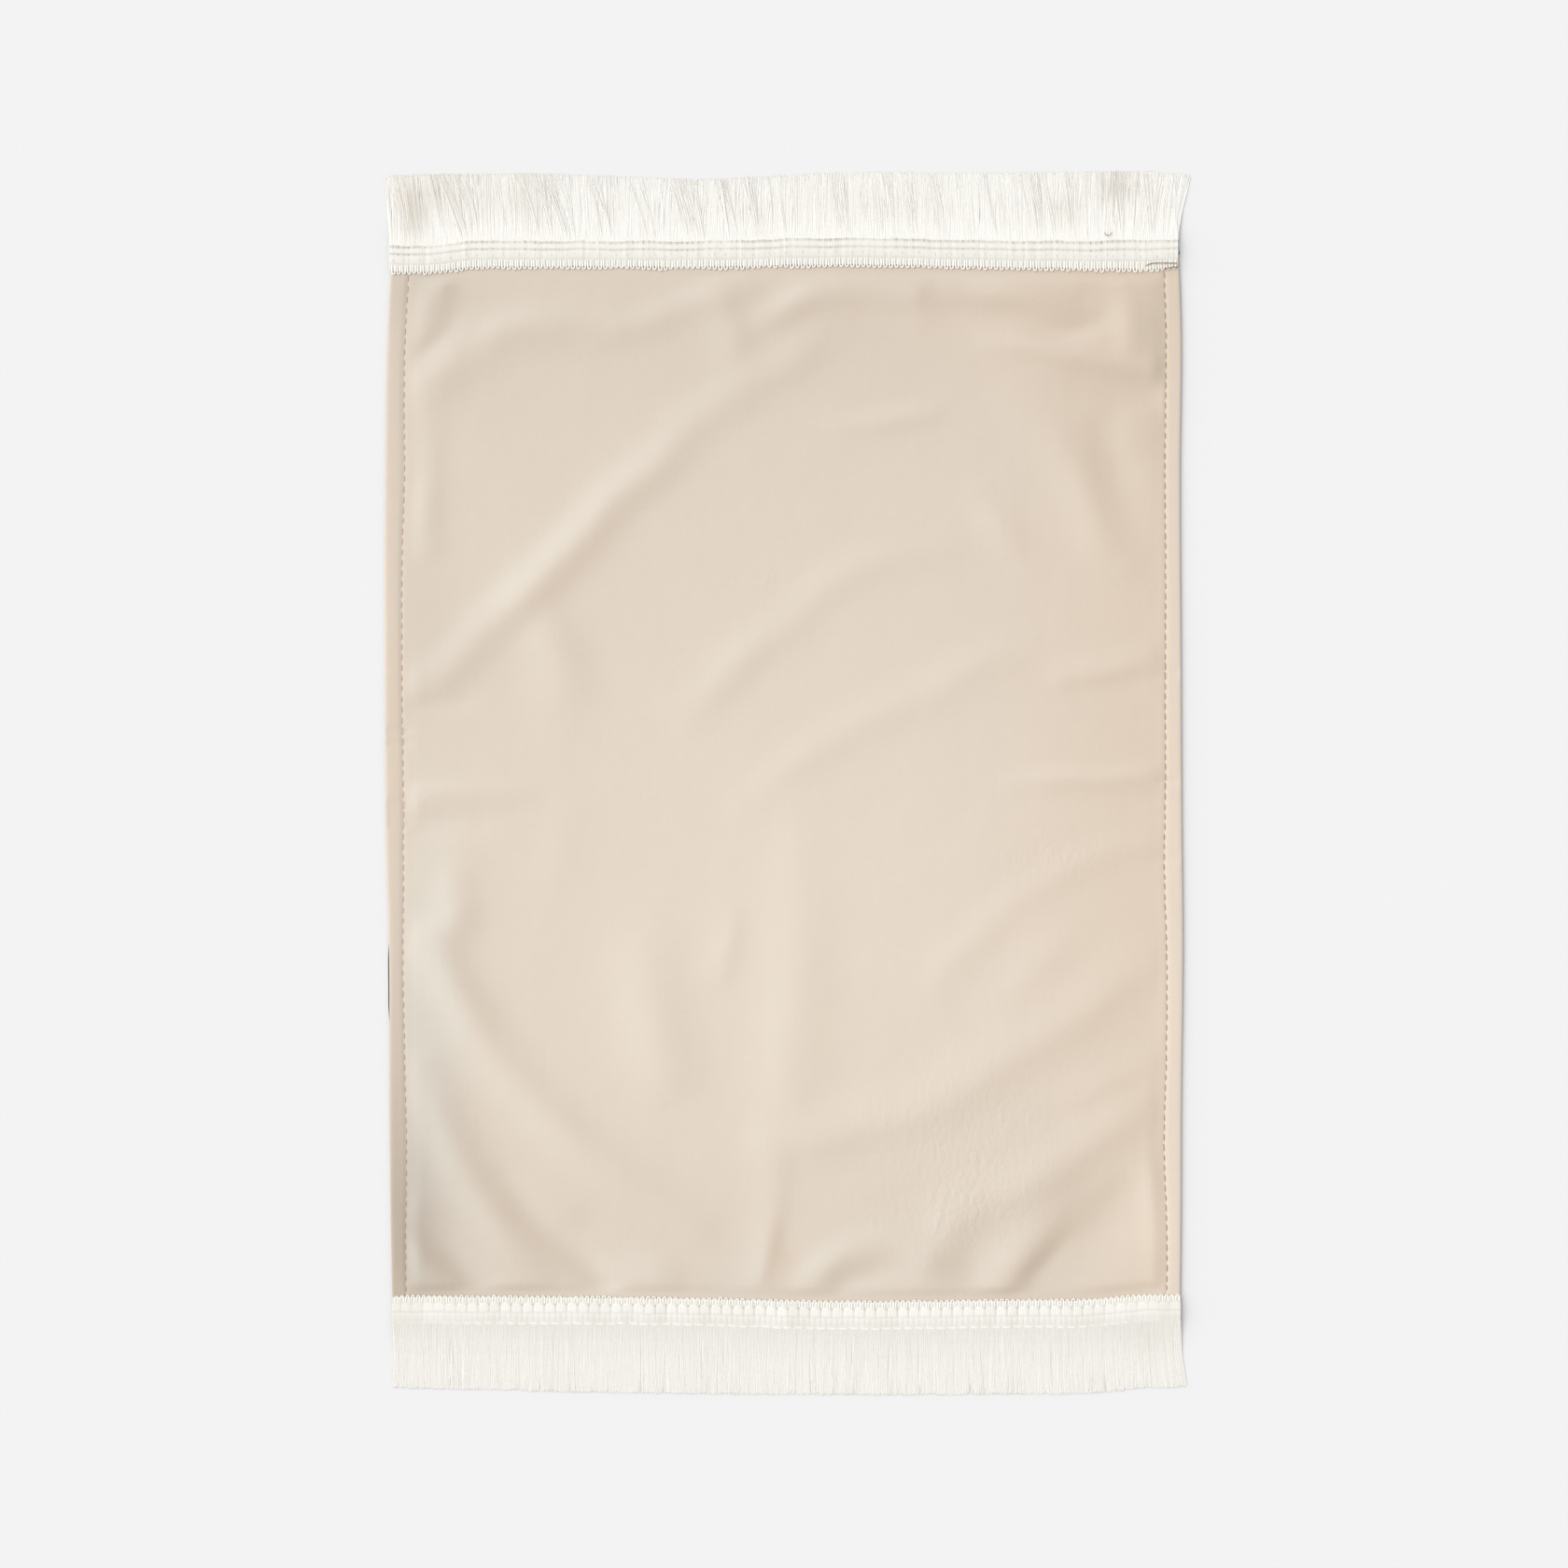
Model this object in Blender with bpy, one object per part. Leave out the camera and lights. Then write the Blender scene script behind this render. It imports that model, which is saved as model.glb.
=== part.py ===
"""Prayer rug, lying flat with its face up.

A plain beige cloth with two turned side hems lies on a dark backing cloth. A woven heading with a
long fringe is sewn over each short end: the top one shows its flat side, the bottom one its ribs.

X runs across the rug, +Y points to its top end and +Z up. The floor is z = 0, and the origin is the
centre of the rug's outline on it. All sizes below are millimetres.
"""
import math
import random
from collections import namedtuple

import bmesh
import bpy
import numpy as np

MM = 0.001

# The two sheets, and how far their ends lie inside the headings' outer lines
CLOTH_THICKNESS = 1.5
BACKING_THICKNESS = 1.0
PIECE_GAP = 0.3
BACKING_INSET = 1.0
SHEET_END_INSET = 3.0

# The seam under a heading: how deep it is, its margin and how soon the cloth rises off it again
SEAM_DEPTH = 24.0
SEAM_MARGIN = 1.0
PRESSED_LENGTH = 9.0

# The hem's section from its edge inwards: a crown, the valley of the stitching, then the flat cloth
HEM_WIDTH = 13.7
HEM_COLUMNS = (0.0, 2.5, 7.0, 11.0, HEM_WIDTH, 17.0)
HEM_HEIGHTS = (1.2, 2.5, 2.8, 2.3, 0.8, CLOTH_THICKNESS)

# The fringe: where it reaches the floor, and the thickness and share of its pitch that a lock has
FRINGE_KNEE = 13.0
KNEE_THICKNESS = 1.1
KNEE_WIDTH = 0.72
KNEE_LEAN = 0.2
TIP_THICKNESS = 0.7
TIP_WIDTH = 0.55
TIP_SWAY = 0.5
LENGTH_SWAY = 1.4

# How far from a heading's ends its ribs flatten
RIB_END_LENGTH = 60.0

# The grids: how many spans they have, and how near a crest a point is drawn onto it, in spans
CLOTH_COLUMNS = 41
CLOTH_ROWS = 57
CREST_REACH = 0.36
BACKING_COLUMNS = 8
BACKING_ROWS = 40

# A fold's crest line, the share of it that rises at each end, and its flanks' reach in widths
STEPS_PER_SPAN = 8
FOLD_TAPER = 0.25
FLANK_REACH = 3.0

# Faces that meet at more than this are shaded with a sharp edge
SHARP_ANGLE = math.radians(28)

CLOTH_Z = BACKING_THICKNESS + PIECE_GAP
HEADING_Z = CLOTH_Z + CLOTH_THICKNESS + PIECE_GAP

# The two long edges of the cloth, as X at each Y
Side = namedtuple("Side", "y left right")
SIDES = (
    Side(-445, -320.0, 323.8),
    Side(-351, -321.6, 324.6),
    Side(-275, -322.4, 324.8),
    Side(-122, -323.2, 326.2),
    Side(-46, -325.4, 325.4),
    Side(107, -326.2, 324.6),
    Side(260, -326.0, 323.8),
    Side(374, -324.0, 324.7),
    Side(448, -320.0, 322.4),
)

# Where the dark backing is pushed out past the cloth: its middle, its reach along Y and how far.
# It fades out from half a reach inside that reach to half a reach past it.
SLIP_SHOULDER = 1.5
Slip = namedtuple("Slip", "side y reach out")
SLIPS = (
    Slip("left", -143, 75, 2.1),
    Slip("right", 436, 12, 2.1),
)

# One row for each fold. Its crest is a smooth curve through a few points, with the lit flank on the
# left-hand side. Height is above the flat cloth; lit and shade are the widths of the two flanks.
Fold = namedtuple("Fold", "crest height lit shade")
FOLDS = (
    # the long diagonal ridge left of the middle, strong below and soft above
    Fold(((-298, 74), (-255, 107), (-213, 153), (-171, 189), (-141, 229), (-114, 256)), 3.0, 9.0, 7.0),
    Fold(((-152, 214), (-106, 263), (-57, 301), (-11, 332), (40, 369)), 2.0, 11.0, 8.5),
    # two softer diagonals across the middle, and one upright to their left
    Fold(((-74, 55), (-42, 102), (8, 141), (50, 172), (116, 196)), 1.5, 11.0, 9.0),
    Fold(((-44, -37), (-3, -2), (73, 47), (130, 78), (199, 111)), 1.3, 11.0, 8.0),
    Fold(((-174, 4), (-183, 69), (-186, 131)), 0.9, 12.0, 9.0),
    # the top left corner
    Fold(((-300, 348), (-279, 374), (-265, 407)), 1.8, 6.5, 6.0),
    Fold(((-291, 309), (-272, 338), (-250, 363), (-219, 384)), 1.6, 6.5, 6.0),
    Fold(((-288, 200), (-290, 259), (-287, 313)), 1.1, 9.0, 6.5),
    # below the top heading
    Fold(((-155, 363), (-120, 378), (-88, 388)), 1.2, 9.0, 6.5),
    Fold(((-42, 348), (-38, 382), (-30, 406)), 1.6, 7.0, 6.0),
    Fold(((-9, 378), (14, 401), (50, 410)), 2.0, 8.0, 6.5),
    Fold(((115, 382), (115, 397), (119, 412)), 1.4, 5.5, 5.5),
    # the top right corner
    Fold(((130, 403), (184, 404), (248, 389)), 2.0, 8.0, 7.0),
    Fold(((187, 357), (245, 355), (304, 349)), 2.0, 9.0, 7.0),
    Fold(((257, 198), (245, 244), (234, 288)), 1.5, 9.0, 7.0),
    # short creases that run in from the right hem
    Fold(((237, 90), (275, 98), (309, 105)), 1.0, 6.0, 5.0),
    Fold(((214, 3), (267, 8), (309, 11)), 1.2, 6.0, 5.0),
    # the long arcs that fan out towards the right hem
    Fold(((121, -169), (145, -128), (199, -89), (252, -58), (307, -43)), 1.3, 11.0, 9.0),
    Fold(((-1, -293), (84, -275), (161, -247), (237, -201), (309, -136)), 1.9, 12.0, 9.0),
    Fold(((162, -345), (206, -317), (254, -281), (304, -244)), 1.9, 10.0, 8.0),
    Fold(((173, -406), (205, -374), (235, -342), (261, -319)), 2.6, 9.0, 7.0),
    # above the bottom heading
    Fold(((119, -403), (132, -372), (156, -343)), 1.3, 8.0, 7.0),
    Fold(((23, -409), (39, -386), (72, -371)), 2.0, 8.0, 6.0),
    Fold(((-26, -406), (-12, -368), (-9, -330), (-19, -291)), 1.4, 6.0, 4.5),
    Fold(((-86, -412), (-88, -400), (-85, -386)), 1.2, 6.0, 6.0),
    # uprights in the lower middle
    Fold(((8, -284), (10, -153), (10, -21)), 1.0, 11.0, 7.0),
    Fold(((-97, -244), (-102, -183), (-106, -122)), 0.9, 10.0, 8.0),
    Fold(((-53, -166), (-46, -140), (-38, -108)), 1.0, 7.0, 5.0),
    # the long arcs down the left side
    Fold(((-221, -229), (-248, -177), (-267, -122), (-270, -64)), 2.4, 10.0, 8.0),
    Fold(((-45, -356), (-114, -314), (-183, -267), (-232, -211)), 1.5, 11.0, 9.0),
    Fold(((-163, -406), (-213, -372), (-244, -333), (-268, -279), (-283, -221)), 2.7, 9.5, 7.5),
    Fold(((-274, -414), (-297, -394), (-306, -360)), 2.0, 7.0, 6.0),
)

# The heading's lines at each X: the outer one carries the fringe and the inner one lies on the
# cloth; tip is where the fringe ends and lean is how far sideways its tips are combed.
Station = namedtuple("Station", "x outer inner tip lean")
TOP_STATIONS = (
    Station(-322.5, 441.0, 416.6, 496.7, -1.0),
    Station(-305, 441.0, 416.6, 497.5, -5.0),
    Station(-283, 441.4, 417.0, 498.3, -8.0),
    Station(-261, 444.4, 419.8, 498.5, -5.0),
    Station(-200, 444.8, 420.8, 498.5, -2.0),
    Station(-50, 445.2, 420.7, 494.5, 1.0),
    Station(23, 447.3, 422.2, 498.5, 0.5),
    Station(77, 447.3, 422.2, 499.5, -0.5),
    Station(150, 445.6, 420.8, 499.0, -1.0),
    Station(260, 445.2, 418.9, 500.5, 1.5),
    Station(300, 446.2, 418.6, 500.0, 6.0),
    Station(322.5, 446.0, 421.4, 497.0, 9.0),
)
BOTTOM_STATIONS = (
    Station(-320, -441.8, -417.2, -493.3, -2.5),
    Station(-250, -442.2, -417.4, -494.8, -1.0),
    Station(-83, -443.3, -418.9, -498.2, 0.5),
    Station(46, -446.7, -421.6, -499.0, -0.5),
    Station(183, -445.2, -420.4, -498.6, 1.0),
    Station(260, -444.0, -419.2, -497.0, 1.5),
    Station(290, -440.3, -416.6, -493.7, 3.0),
    Station(324.5, -439.8, -416.5, -493.1, 4.5),
)

# A heading's section, from the fringe (0) to the cloth (1): its height on a rib and between ribs
Across = namedtuple("Across", "share rib dip")
FLAT_SECTION = (
    Across(0.00, 1.4, 1.4),
    Across(0.11, 0.9, 0.9),
    Across(0.19, 1.5, 1.5),
    Across(0.36, 0.9, 0.9),
    Across(0.44, 1.5, 1.5),
    Across(0.72, 1.4, 1.4),
    Across(1.00, 1.1, 1.1),
)
RIBBED_SECTION = (
    Across(0.00, 1.4, 0.9),
    Across(0.10, 2.3, 0.9),
    Across(0.38, 2.4, 1.0),
    Across(0.65, 2.2, 1.0),
    Across(0.73, 0.9, 0.9),
    Across(0.82, 1.4, 1.4),
    Across(1.00, 1.0, 1.0),
)

Trim = namedtuple("Trim", "name stations section locks seed")
TRIMS = (
    Trim("trim_top", TOP_STATIONS, FLAT_SECTION, 148, 11),
    Trim("trim_bottom", BOTTOM_STATIONS, RIBBED_SECTION, 148, 23),
)

# A sheet's rim: its end rows in full, and the left and right vertex of each row between
Rim = namedtuple("Rim", "first pairs last")

# The three surfaces, as a colour and a roughness
Finish = namedtuple("Finish", "color roughness")
BEIGE_SATEEN = Finish((0.76, 0.66, 0.56, 1.0), 0.55)
CREAM_YARN = Finish((0.93, 0.91, 0.85, 1.0), 0.6)
CHARCOAL_CLOTH = Finish((0.05, 0.05, 0.055, 1.0), 0.9)


def smooth_curve(places, values, at):
    """Cubic curve through the values, each slope taken from the neighbours on both sides."""
    places = np.asarray(places, dtype=float)
    values = np.asarray(values, dtype=float)
    slopes = np.gradient(values, places)
    after = np.clip(np.searchsorted(places, at), 1, len(places) - 1)
    before = after - 1
    span = places[after] - places[before]
    t = np.clip((at - places[before]) / span, 0.0, 1.0)
    rise = t * t * (3 - 2 * t)
    start_bow = t * (1 - t) ** 2 * span * slopes[before]
    end_bow = t * t * (t - 1) * span * slopes[after]
    return values[before] * (1 - rise) + values[after] * rise + start_bow + end_bow


def column(table, field):
    """One named column of a table."""
    return [getattr(row, field) for row in table]


def line_at(table, place, field, at):
    """A table's column as a smooth curve over another column."""
    return smooth_curve(column(table, place), column(table, field), at)


def ease(share):
    """Soft step from 0 to 1."""
    share = np.clip(share, 0.0, 1.0)
    return share * share * (3 - 2 * share)


def fold_crest(fold):
    """Points along the fold's crest, evenly spread between its own points."""
    order = np.arange(len(fold.crest))
    at = np.linspace(0, order[-1], order[-1] * STEPS_PER_SPAN + 1)
    x, y = zip(*fold.crest)
    return np.column_stack((smooth_curve(order, x, at), smooth_curve(order, y, at)))


def nearest_on_crest(crest, points):
    """For each point: the nearest place on the crest, its share along it and the signed distance."""
    origin = crest[:-1]
    run = np.diff(crest, axis=0)
    offset = points[:, None, :] - origin
    share = np.clip((offset * run).sum(-1) / (run * run).sum(-1), 0.0, 1.0)
    feet = origin + share[..., None] * run
    gaps = np.linalg.norm(points[:, None, :] - feet, axis=-1)
    pick = gaps.argmin(axis=1)
    each = np.arange(len(points))
    side = run[pick, 0] * offset[each, pick, 1] - run[pick, 1] * offset[each, pick, 0]
    along = (pick + share[each, pick]) / len(run)
    return feet[each, pick], along, np.where(side < 0, -1.0, 1.0) * gaps[each, pick]


def fold_heights(points):
    """Height of the cloth's folds over its flat face, where the highest fold at a point counts."""
    height = np.zeros(len(points))
    for fold in FOLDS:
        _, along, distance = nearest_on_crest(fold_crest(fold), points)
        width = np.where(distance > 0, fold.lit, fold.shade)
        flank = np.exp(-0.5 * (distance / width) ** 2) * (np.abs(distance) < FLANK_REACH * width)
        taper = ease(along / FOLD_TAPER) * ease((1 - along) / FOLD_TAPER)
        height = np.maximum(height, fold.height * flank * taper)
    return height


def drawn_to_crests(points, reach):
    """Move grid points that lie near a crest onto it, so that few faces still keep it sharp."""
    moved = points.copy()
    closest = np.full(len(points), reach)
    for fold in FOLDS:
        feet, _, distance = nearest_on_crest(fold_crest(fold), points)
        near = np.abs(distance) < closest
        moved[near] = feet[near]
        closest[near] = np.abs(distance[near])
    return moved


def off_headings(points):
    """0 under the headings, where the seam presses the cloth flat, and 1 a little way off them."""
    x, y = points[:, 0], points[:, 1]
    below_top = line_at(TOP_STATIONS, "x", "inner", x) - SEAM_MARGIN - y
    above_bottom = y - line_at(BOTTOM_STATIONS, "x", "inner", x) - SEAM_MARGIN
    return ease(np.minimum(below_top, above_bottom) / PRESSED_LENGTH)


def material(name, finish):
    """A cloth or yarn surface with one plain colour."""
    made = bpy.data.materials.new(name)
    made.use_nodes = True
    shader = made.node_tree.nodes["Principled BSDF"]
    shader.inputs["Base Color"].default_value = finish.color
    shader.inputs["Roughness"].default_value = finish.roughness
    shader.inputs["Metallic"].default_value = 0.0
    return made


def add_object(name, bm, surface):
    """Turn a finished bmesh in millimetres into a named object in metres."""
    bmesh.ops.scale(bm, vec=(MM, MM, MM), verts=bm.verts)
    bmesh.ops.recalc_face_normals(bm, faces=bm.faces)
    mesh = bpy.data.meshes.new(name)
    bm.to_mesh(mesh)
    bm.free()
    mesh.shade_smooth()
    mesh.set_sharp_from_angle(angle=SHARP_ANGLE)
    mesh.materials.append(surface)
    obj = bpy.data.objects.new(name, mesh)
    bpy.context.collection.objects.link(obj)
    return obj


def add_grid(bm, x, y, z):
    """A sheet of quads over three arrays of rows by columns; returns its rows of vertices."""
    rows = [[bm.verts.new(point) for point in zip(*line)] for line in zip(x, y, z)]
    for near, far in zip(rows, rows[1:]):
        add_strip(bm, near, far)
    return rows


def add_strip(bm, near, far):
    """A strip of quads between two rows of vertices."""
    for corners in zip(near, near[1:], far[1:], far):
        bm.faces.new(corners)


def rim_of(rows):
    """A grid's rim: its whole first and last rows, and the two side vertices of each row between."""
    return Rim(rows[0], [(row[0], row[-1]) for row in rows[1:-1]], rows[-1])


def rim_at(bm, rim, z):
    """A copy of a rim at another height."""
    def moved(vertex):
        return bm.verts.new((vertex.co.x, vertex.co.y, z))

    first = [moved(vertex) for vertex in rim.first]
    pairs = [(moved(left), moved(right)) for left, right in rim.pairs]
    return Rim(first, pairs, [moved(vertex) for vertex in rim.last])


def rim_sides(rim):
    """The four runs of vertices around a rim: two ends, left and right."""
    left = [rim.first[0]] + [pair[0] for pair in rim.pairs] + [rim.last[0]]
    right = [rim.first[-1]] + [pair[1] for pair in rim.pairs] + [rim.last[-1]]
    return rim.first, rim.last, left, right


def add_walls(bm, upper, lower):
    """Side walls between two rims."""
    for above, below in zip(rim_sides(upper), rim_sides(lower)):
        add_strip(bm, above, below)


def add_flat_end(bm, end_row, pair):
    """Flat fan that closes a row of many vertices onto the two vertices of the next row."""
    left, right = pair
    middle = len(end_row) // 2
    for first, second in zip(end_row[:middle], end_row[1:middle + 1]):
        bm.faces.new((first, second, left))
    for first, second in zip(end_row[middle:], end_row[middle + 1:]):
        bm.faces.new((first, second, right))
    bm.faces.new((end_row[middle], right, left))


def add_flat_face(bm, rim):
    """Flat face inside a level rim: one long strip for each row and a fan at each end."""
    for near, far in zip(rim.pairs, rim.pairs[1:]):
        bm.faces.new((near[0], near[1], far[1], far[0]))
    add_flat_end(bm, rim.first, rim.pairs[0])
    add_flat_end(bm, rim.last, rim.pairs[-1])


def sheet_grid(columns_at, rows, end_inset):
    """X and Y of a sheet's grid: a row at each heading's inner line, a row under it and the field."""
    share = np.linspace(0, 1, rows + 1)[:, None]
    low, high = SIDES[0].y, SIDES[-1].y
    guide = low + SEAM_DEPTH + (high - low - 2 * SEAM_DEPTH) * share
    x = columns_at(np.vstack(([[low]], guide, [[high]])))
    bottom_line = line_at(BOTTOM_STATIONS, "x", "inner", x[1:-1]) + SEAM_MARGIN
    top_line = line_at(TOP_STATIONS, "x", "inner", x[1:-1]) - SEAM_MARGIN
    bottom_end = line_at(BOTTOM_STATIONS, "x", "outer", x[:1]) + end_inset
    top_end = line_at(TOP_STATIONS, "x", "outer", x[-1:]) - end_inset
    return x, np.vstack((bottom_end, bottom_line + (top_line - bottom_line) * share, top_end))


def cloth_columns(y):
    """X of each column of the cloth: close together over the hems and even between them."""
    left = line_at(SIDES, "y", "left", y)
    right = line_at(SIDES, "y", "right", y)
    inset = np.array(HEM_COLUMNS)
    field_left = left + inset[-1]
    field_right = right - inset[-1]
    between = np.linspace(0, 1, CLOTH_COLUMNS + 1)[1:-1]
    field = field_left + (field_right - field_left) * between
    return np.hstack((left + inset, field, right - inset[::-1]))


def cloth_relief(points):
    """Height over the flat cloth: crowned hems, soft folds, and flat where the headings lie."""
    left_inset = points[:, 0] - line_at(SIDES, "y", "left", points[:, 1])
    right_inset = line_at(SIDES, "y", "right", points[:, 1]) - points[:, 0]
    inset = np.minimum(left_inset, right_inset)
    hem = np.interp(inset, HEM_COLUMNS, HEM_HEIGHTS) - CLOTH_THICKNESS
    off_hem = ease((inset - HEM_WIDTH) / HEM_WIDTH)
    relief = hem + off_hem * fold_heights(points)
    return np.where(relief > 0, relief * off_headings(points), relief)


def build_cloth(surface):
    """The beige cloth: a thin sheet with a crowned hem on each long side and soft folds."""
    x, y = sheet_grid(cloth_columns, CLOTH_ROWS, SHEET_END_INSET)
    grid = np.dstack((x, y))
    hem = len(HEM_COLUMNS)
    # the points that may move: none on the hems, in the seams or on the rows beside them
    field = (slice(2, -2), slice(hem, -hem))
    reach = CREST_REACH * (x[0, hem + 1] - x[0, hem])
    flat = grid[field].reshape(-1, 2)
    grid[field] = drawn_to_crests(flat, reach).reshape(grid[field].shape)
    height = CLOTH_Z + CLOTH_THICKNESS + cloth_relief(grid.reshape(-1, 2)).reshape(x.shape)

    bm = bmesh.new()
    upper = rim_of(add_grid(bm, grid[..., 0], grid[..., 1], height))
    lower = rim_at(bm, upper, CLOTH_Z)
    add_walls(bm, upper, lower)
    add_flat_face(bm, lower)
    return add_object("cloth", bm, surface)


def backing_columns(y):
    """X of the backing's columns, inside the cloth's sides but for where it has slipped out."""
    out = {"left": 0.0, "right": 0.0}
    for slip in SLIPS:
        out[slip.side] = out[slip.side] + slip.out * ease(SLIP_SHOULDER - np.abs(y - slip.y) / slip.reach)
    left = line_at(SIDES, "y", "left", y) + BACKING_INSET - out["left"]
    right = line_at(SIDES, "y", "right", y) - BACKING_INSET + out["right"]
    return left + (right - left) * np.linspace(0, 1, BACKING_COLUMNS + 1)


def build_backing(surface):
    """The dark backing cloth, a flat sheet on the floor."""
    x, y = sheet_grid(backing_columns, BACKING_ROWS, SHEET_END_INSET + BACKING_INSET)
    bm = bmesh.new()
    rows = [[(*point, BACKING_THICKNESS) for point in zip(*line)] for line in zip(x, y)]
    rows = [rows[0]] + [[row[0], row[-1]] for row in rows[1:-1]] + [rows[-1]]
    upper = rim_of([[bm.verts.new(point) for point in row] for row in rows])
    lower = rim_at(bm, upper, 0.0)
    add_walls(bm, upper, lower)
    add_flat_face(bm, upper)
    add_flat_face(bm, lower)
    return add_object("under_cloth", bm, surface)


def rib_share(x, columns):
    """1 on a rib and 0 between two ribs, fading to a half where the ribs flatten at the ends."""
    to_end = np.minimum(x - x[0], x[-1] - x)
    bold = ease(to_end / RIB_END_LENGTH)
    on_rib = np.arange(columns + 1) % 2
    half = 1 / 2
    return half + (on_rib - half) * bold


def heading_grid(trim):
    """X, Y and Z of a heading's upper face, its rows running from the fringe to the cloth."""
    x = np.linspace(trim.stations[0].x, trim.stations[-1].x, trim.locks + 1)
    outer = line_at(trim.stations, "x", "outer", x)
    inner = line_at(trim.stations, "x", "inner", x)
    rib = rib_share(x, trim.locks)
    share = np.array(column(trim.section, "share"))[:, None]
    on_rib = np.array(column(trim.section, "rib"))[:, None]
    in_dip = np.array(column(trim.section, "dip"))[:, None]
    y = outer + (inner - outer) * share
    z = HEADING_Z + in_dip + (on_rib - in_dip) * rib
    return np.broadcast_to(x, y.shape), y, z


def lock_ring(bm, middle, width, y, thickness):
    """Four vertices around a lock lying on the floor, in the order of its root's corners."""
    left = middle - width / 2
    right = middle + width / 2
    corners = ((left, y, thickness), (right, y, thickness), (right, y, 0.0), (left, y, 0.0))
    return [bm.verts.new(corner) for corner in corners]


def add_lock(bm, root, tip_y, lean, pitch):
    """A four-sided lock from the heading's outer wall, down to the floor and level along it."""
    middle = (root[0].co + root[1].co) / 2
    outward = math.copysign(FRINGE_KNEE, middle.y)
    knee = lock_ring(bm, middle.x + lean * KNEE_LEAN, pitch * KNEE_WIDTH, middle.y + outward, KNEE_THICKNESS)
    end = lock_ring(bm, middle.x + lean, pitch * TIP_WIDTH, tip_y, TIP_THICKNESS)
    for near, far in ((root, knee), (knee, end)):
        for side in range(4):
            after = (side + 1) % 4
            bm.faces.new((near[side], near[after], far[after], far[side]))
    bm.faces.new(end)


def build_trim(trim, surface):
    """A heading with its fringe: each lock grows from its own face of the heading's outer wall."""
    bm = bmesh.new()
    rows = add_grid(bm, *heading_grid(trim))
    outer_foot, inner_foot = (
        [bm.verts.new((*vertex.co.xy, HEADING_Z)) for vertex in row] for row in (rows[0], rows[-1])
    )
    add_strip(bm, rows[-1], inner_foot)
    add_strip(bm, outer_foot, inner_foot)
    for end in (0, -1):
        bm.faces.new([row[end] for row in rows] + [inner_foot[end], outer_foot[end]])

    rng = random.Random(trim.seed)
    pitch = (trim.stations[-1].x - trim.stations[0].x) / trim.locks
    for place in range(trim.locks):
        root = (rows[0][place], rows[0][place + 1], outer_foot[place + 1], outer_foot[place])
        x = (root[0].co.x + root[1].co.x) / 2
        # the tips end unevenly, each a little short of the line or on it
        tip = line_at(trim.stations, "x", "tip", x)
        tip_y = tip - math.copysign(rng.uniform(0, LENGTH_SWAY), tip)
        lean = line_at(trim.stations, "x", "lean", x) + rng.uniform(-TIP_SWAY, TIP_SWAY)
        add_lock(bm, root, tip_y, lean, pitch)
    return add_object(trim.name, bm, surface)


def centre_on_origin(objects):
    """Shift all pieces together, so that the origin is the centre of the rug's outline."""
    corners = np.array([vertex.co for obj in objects for vertex in obj.data.vertices])
    middle = (corners.min(axis=0) + corners.max(axis=0)) / 2
    for obj in objects:
        for vertex in obj.data.vertices:
            vertex.co.x -= middle[0]
            vertex.co.y -= middle[1]


def main():
    for obj in list(bpy.data.objects):
        bpy.data.objects.remove(obj)
    cream = material("fringe_cream", CREAM_YARN)
    pieces = [
        build_cloth(material("cloth_beige", BEIGE_SATEEN)),
        build_backing(material("backing_charcoal", CHARCOAL_CLOTH)),
    ]
    pieces += [build_trim(trim, cream) for trim in TRIMS]
    centre_on_origin(pieces)


main()
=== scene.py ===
# %% [markdown]
# # A prayer rug, lying flat
# The real rug is a plain beige sateen cloth on a dark backing cloth. Its long sides are turned and
# topstitched, and a woven heading with a long silky fringe is sewn over each short end. This lesson
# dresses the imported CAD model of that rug: the CAD solids give the place and the main shape of each
# part, and every piece made here is a surface worked out with numpy that stands in one of them.

# %% Load the fixed frame
from collections import namedtuple

import bpy
import numpy as np
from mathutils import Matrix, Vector


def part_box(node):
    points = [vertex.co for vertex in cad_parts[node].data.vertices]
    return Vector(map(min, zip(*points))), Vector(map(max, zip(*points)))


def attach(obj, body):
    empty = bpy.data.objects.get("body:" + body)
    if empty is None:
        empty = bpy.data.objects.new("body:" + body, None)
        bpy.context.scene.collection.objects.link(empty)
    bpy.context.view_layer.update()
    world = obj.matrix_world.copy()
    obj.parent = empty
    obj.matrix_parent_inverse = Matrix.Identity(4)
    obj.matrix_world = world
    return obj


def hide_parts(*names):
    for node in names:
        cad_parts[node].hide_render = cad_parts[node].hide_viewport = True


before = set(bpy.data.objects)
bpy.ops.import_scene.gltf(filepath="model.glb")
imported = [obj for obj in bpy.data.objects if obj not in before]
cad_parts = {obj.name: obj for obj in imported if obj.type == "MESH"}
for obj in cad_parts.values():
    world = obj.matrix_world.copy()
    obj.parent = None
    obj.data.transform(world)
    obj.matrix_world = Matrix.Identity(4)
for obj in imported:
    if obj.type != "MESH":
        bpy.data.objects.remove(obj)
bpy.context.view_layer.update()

# %% [markdown]
# ## One drawing for all pieces
# A rug is measured flat on a table, in millimetres from its middle. The tables below are written in
# such a drawing: X to the right, Y to the top end, Z up from the floor. A drawing is easier to read
# than metres, so only the last step of each mesh turns it into metres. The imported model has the
# middle of the whole outline at its origin, and the drawing's own middle lies a little beside it.

# %% The drawing's scale and place
MM = 0.001
DRAWING_ORIGIN = np.array([1.796, 0.719, 0.0])


def in_metres(points):
    """Place in the model = (place in the drawing - its origin) times the scale."""
    return (np.asarray(points, dtype=float) - DRAWING_ORIGIN) * MM


# %% [markdown]
# The outlines of cloth are never straight: they are soft curves through a few measured points. One
# function gives all of them. It is the cubic curve whose slope at each point is taken from the two
# neighbours, which never swings far from the points. A table row is a named tuple, whose columns
# are named just above the table.

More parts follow.
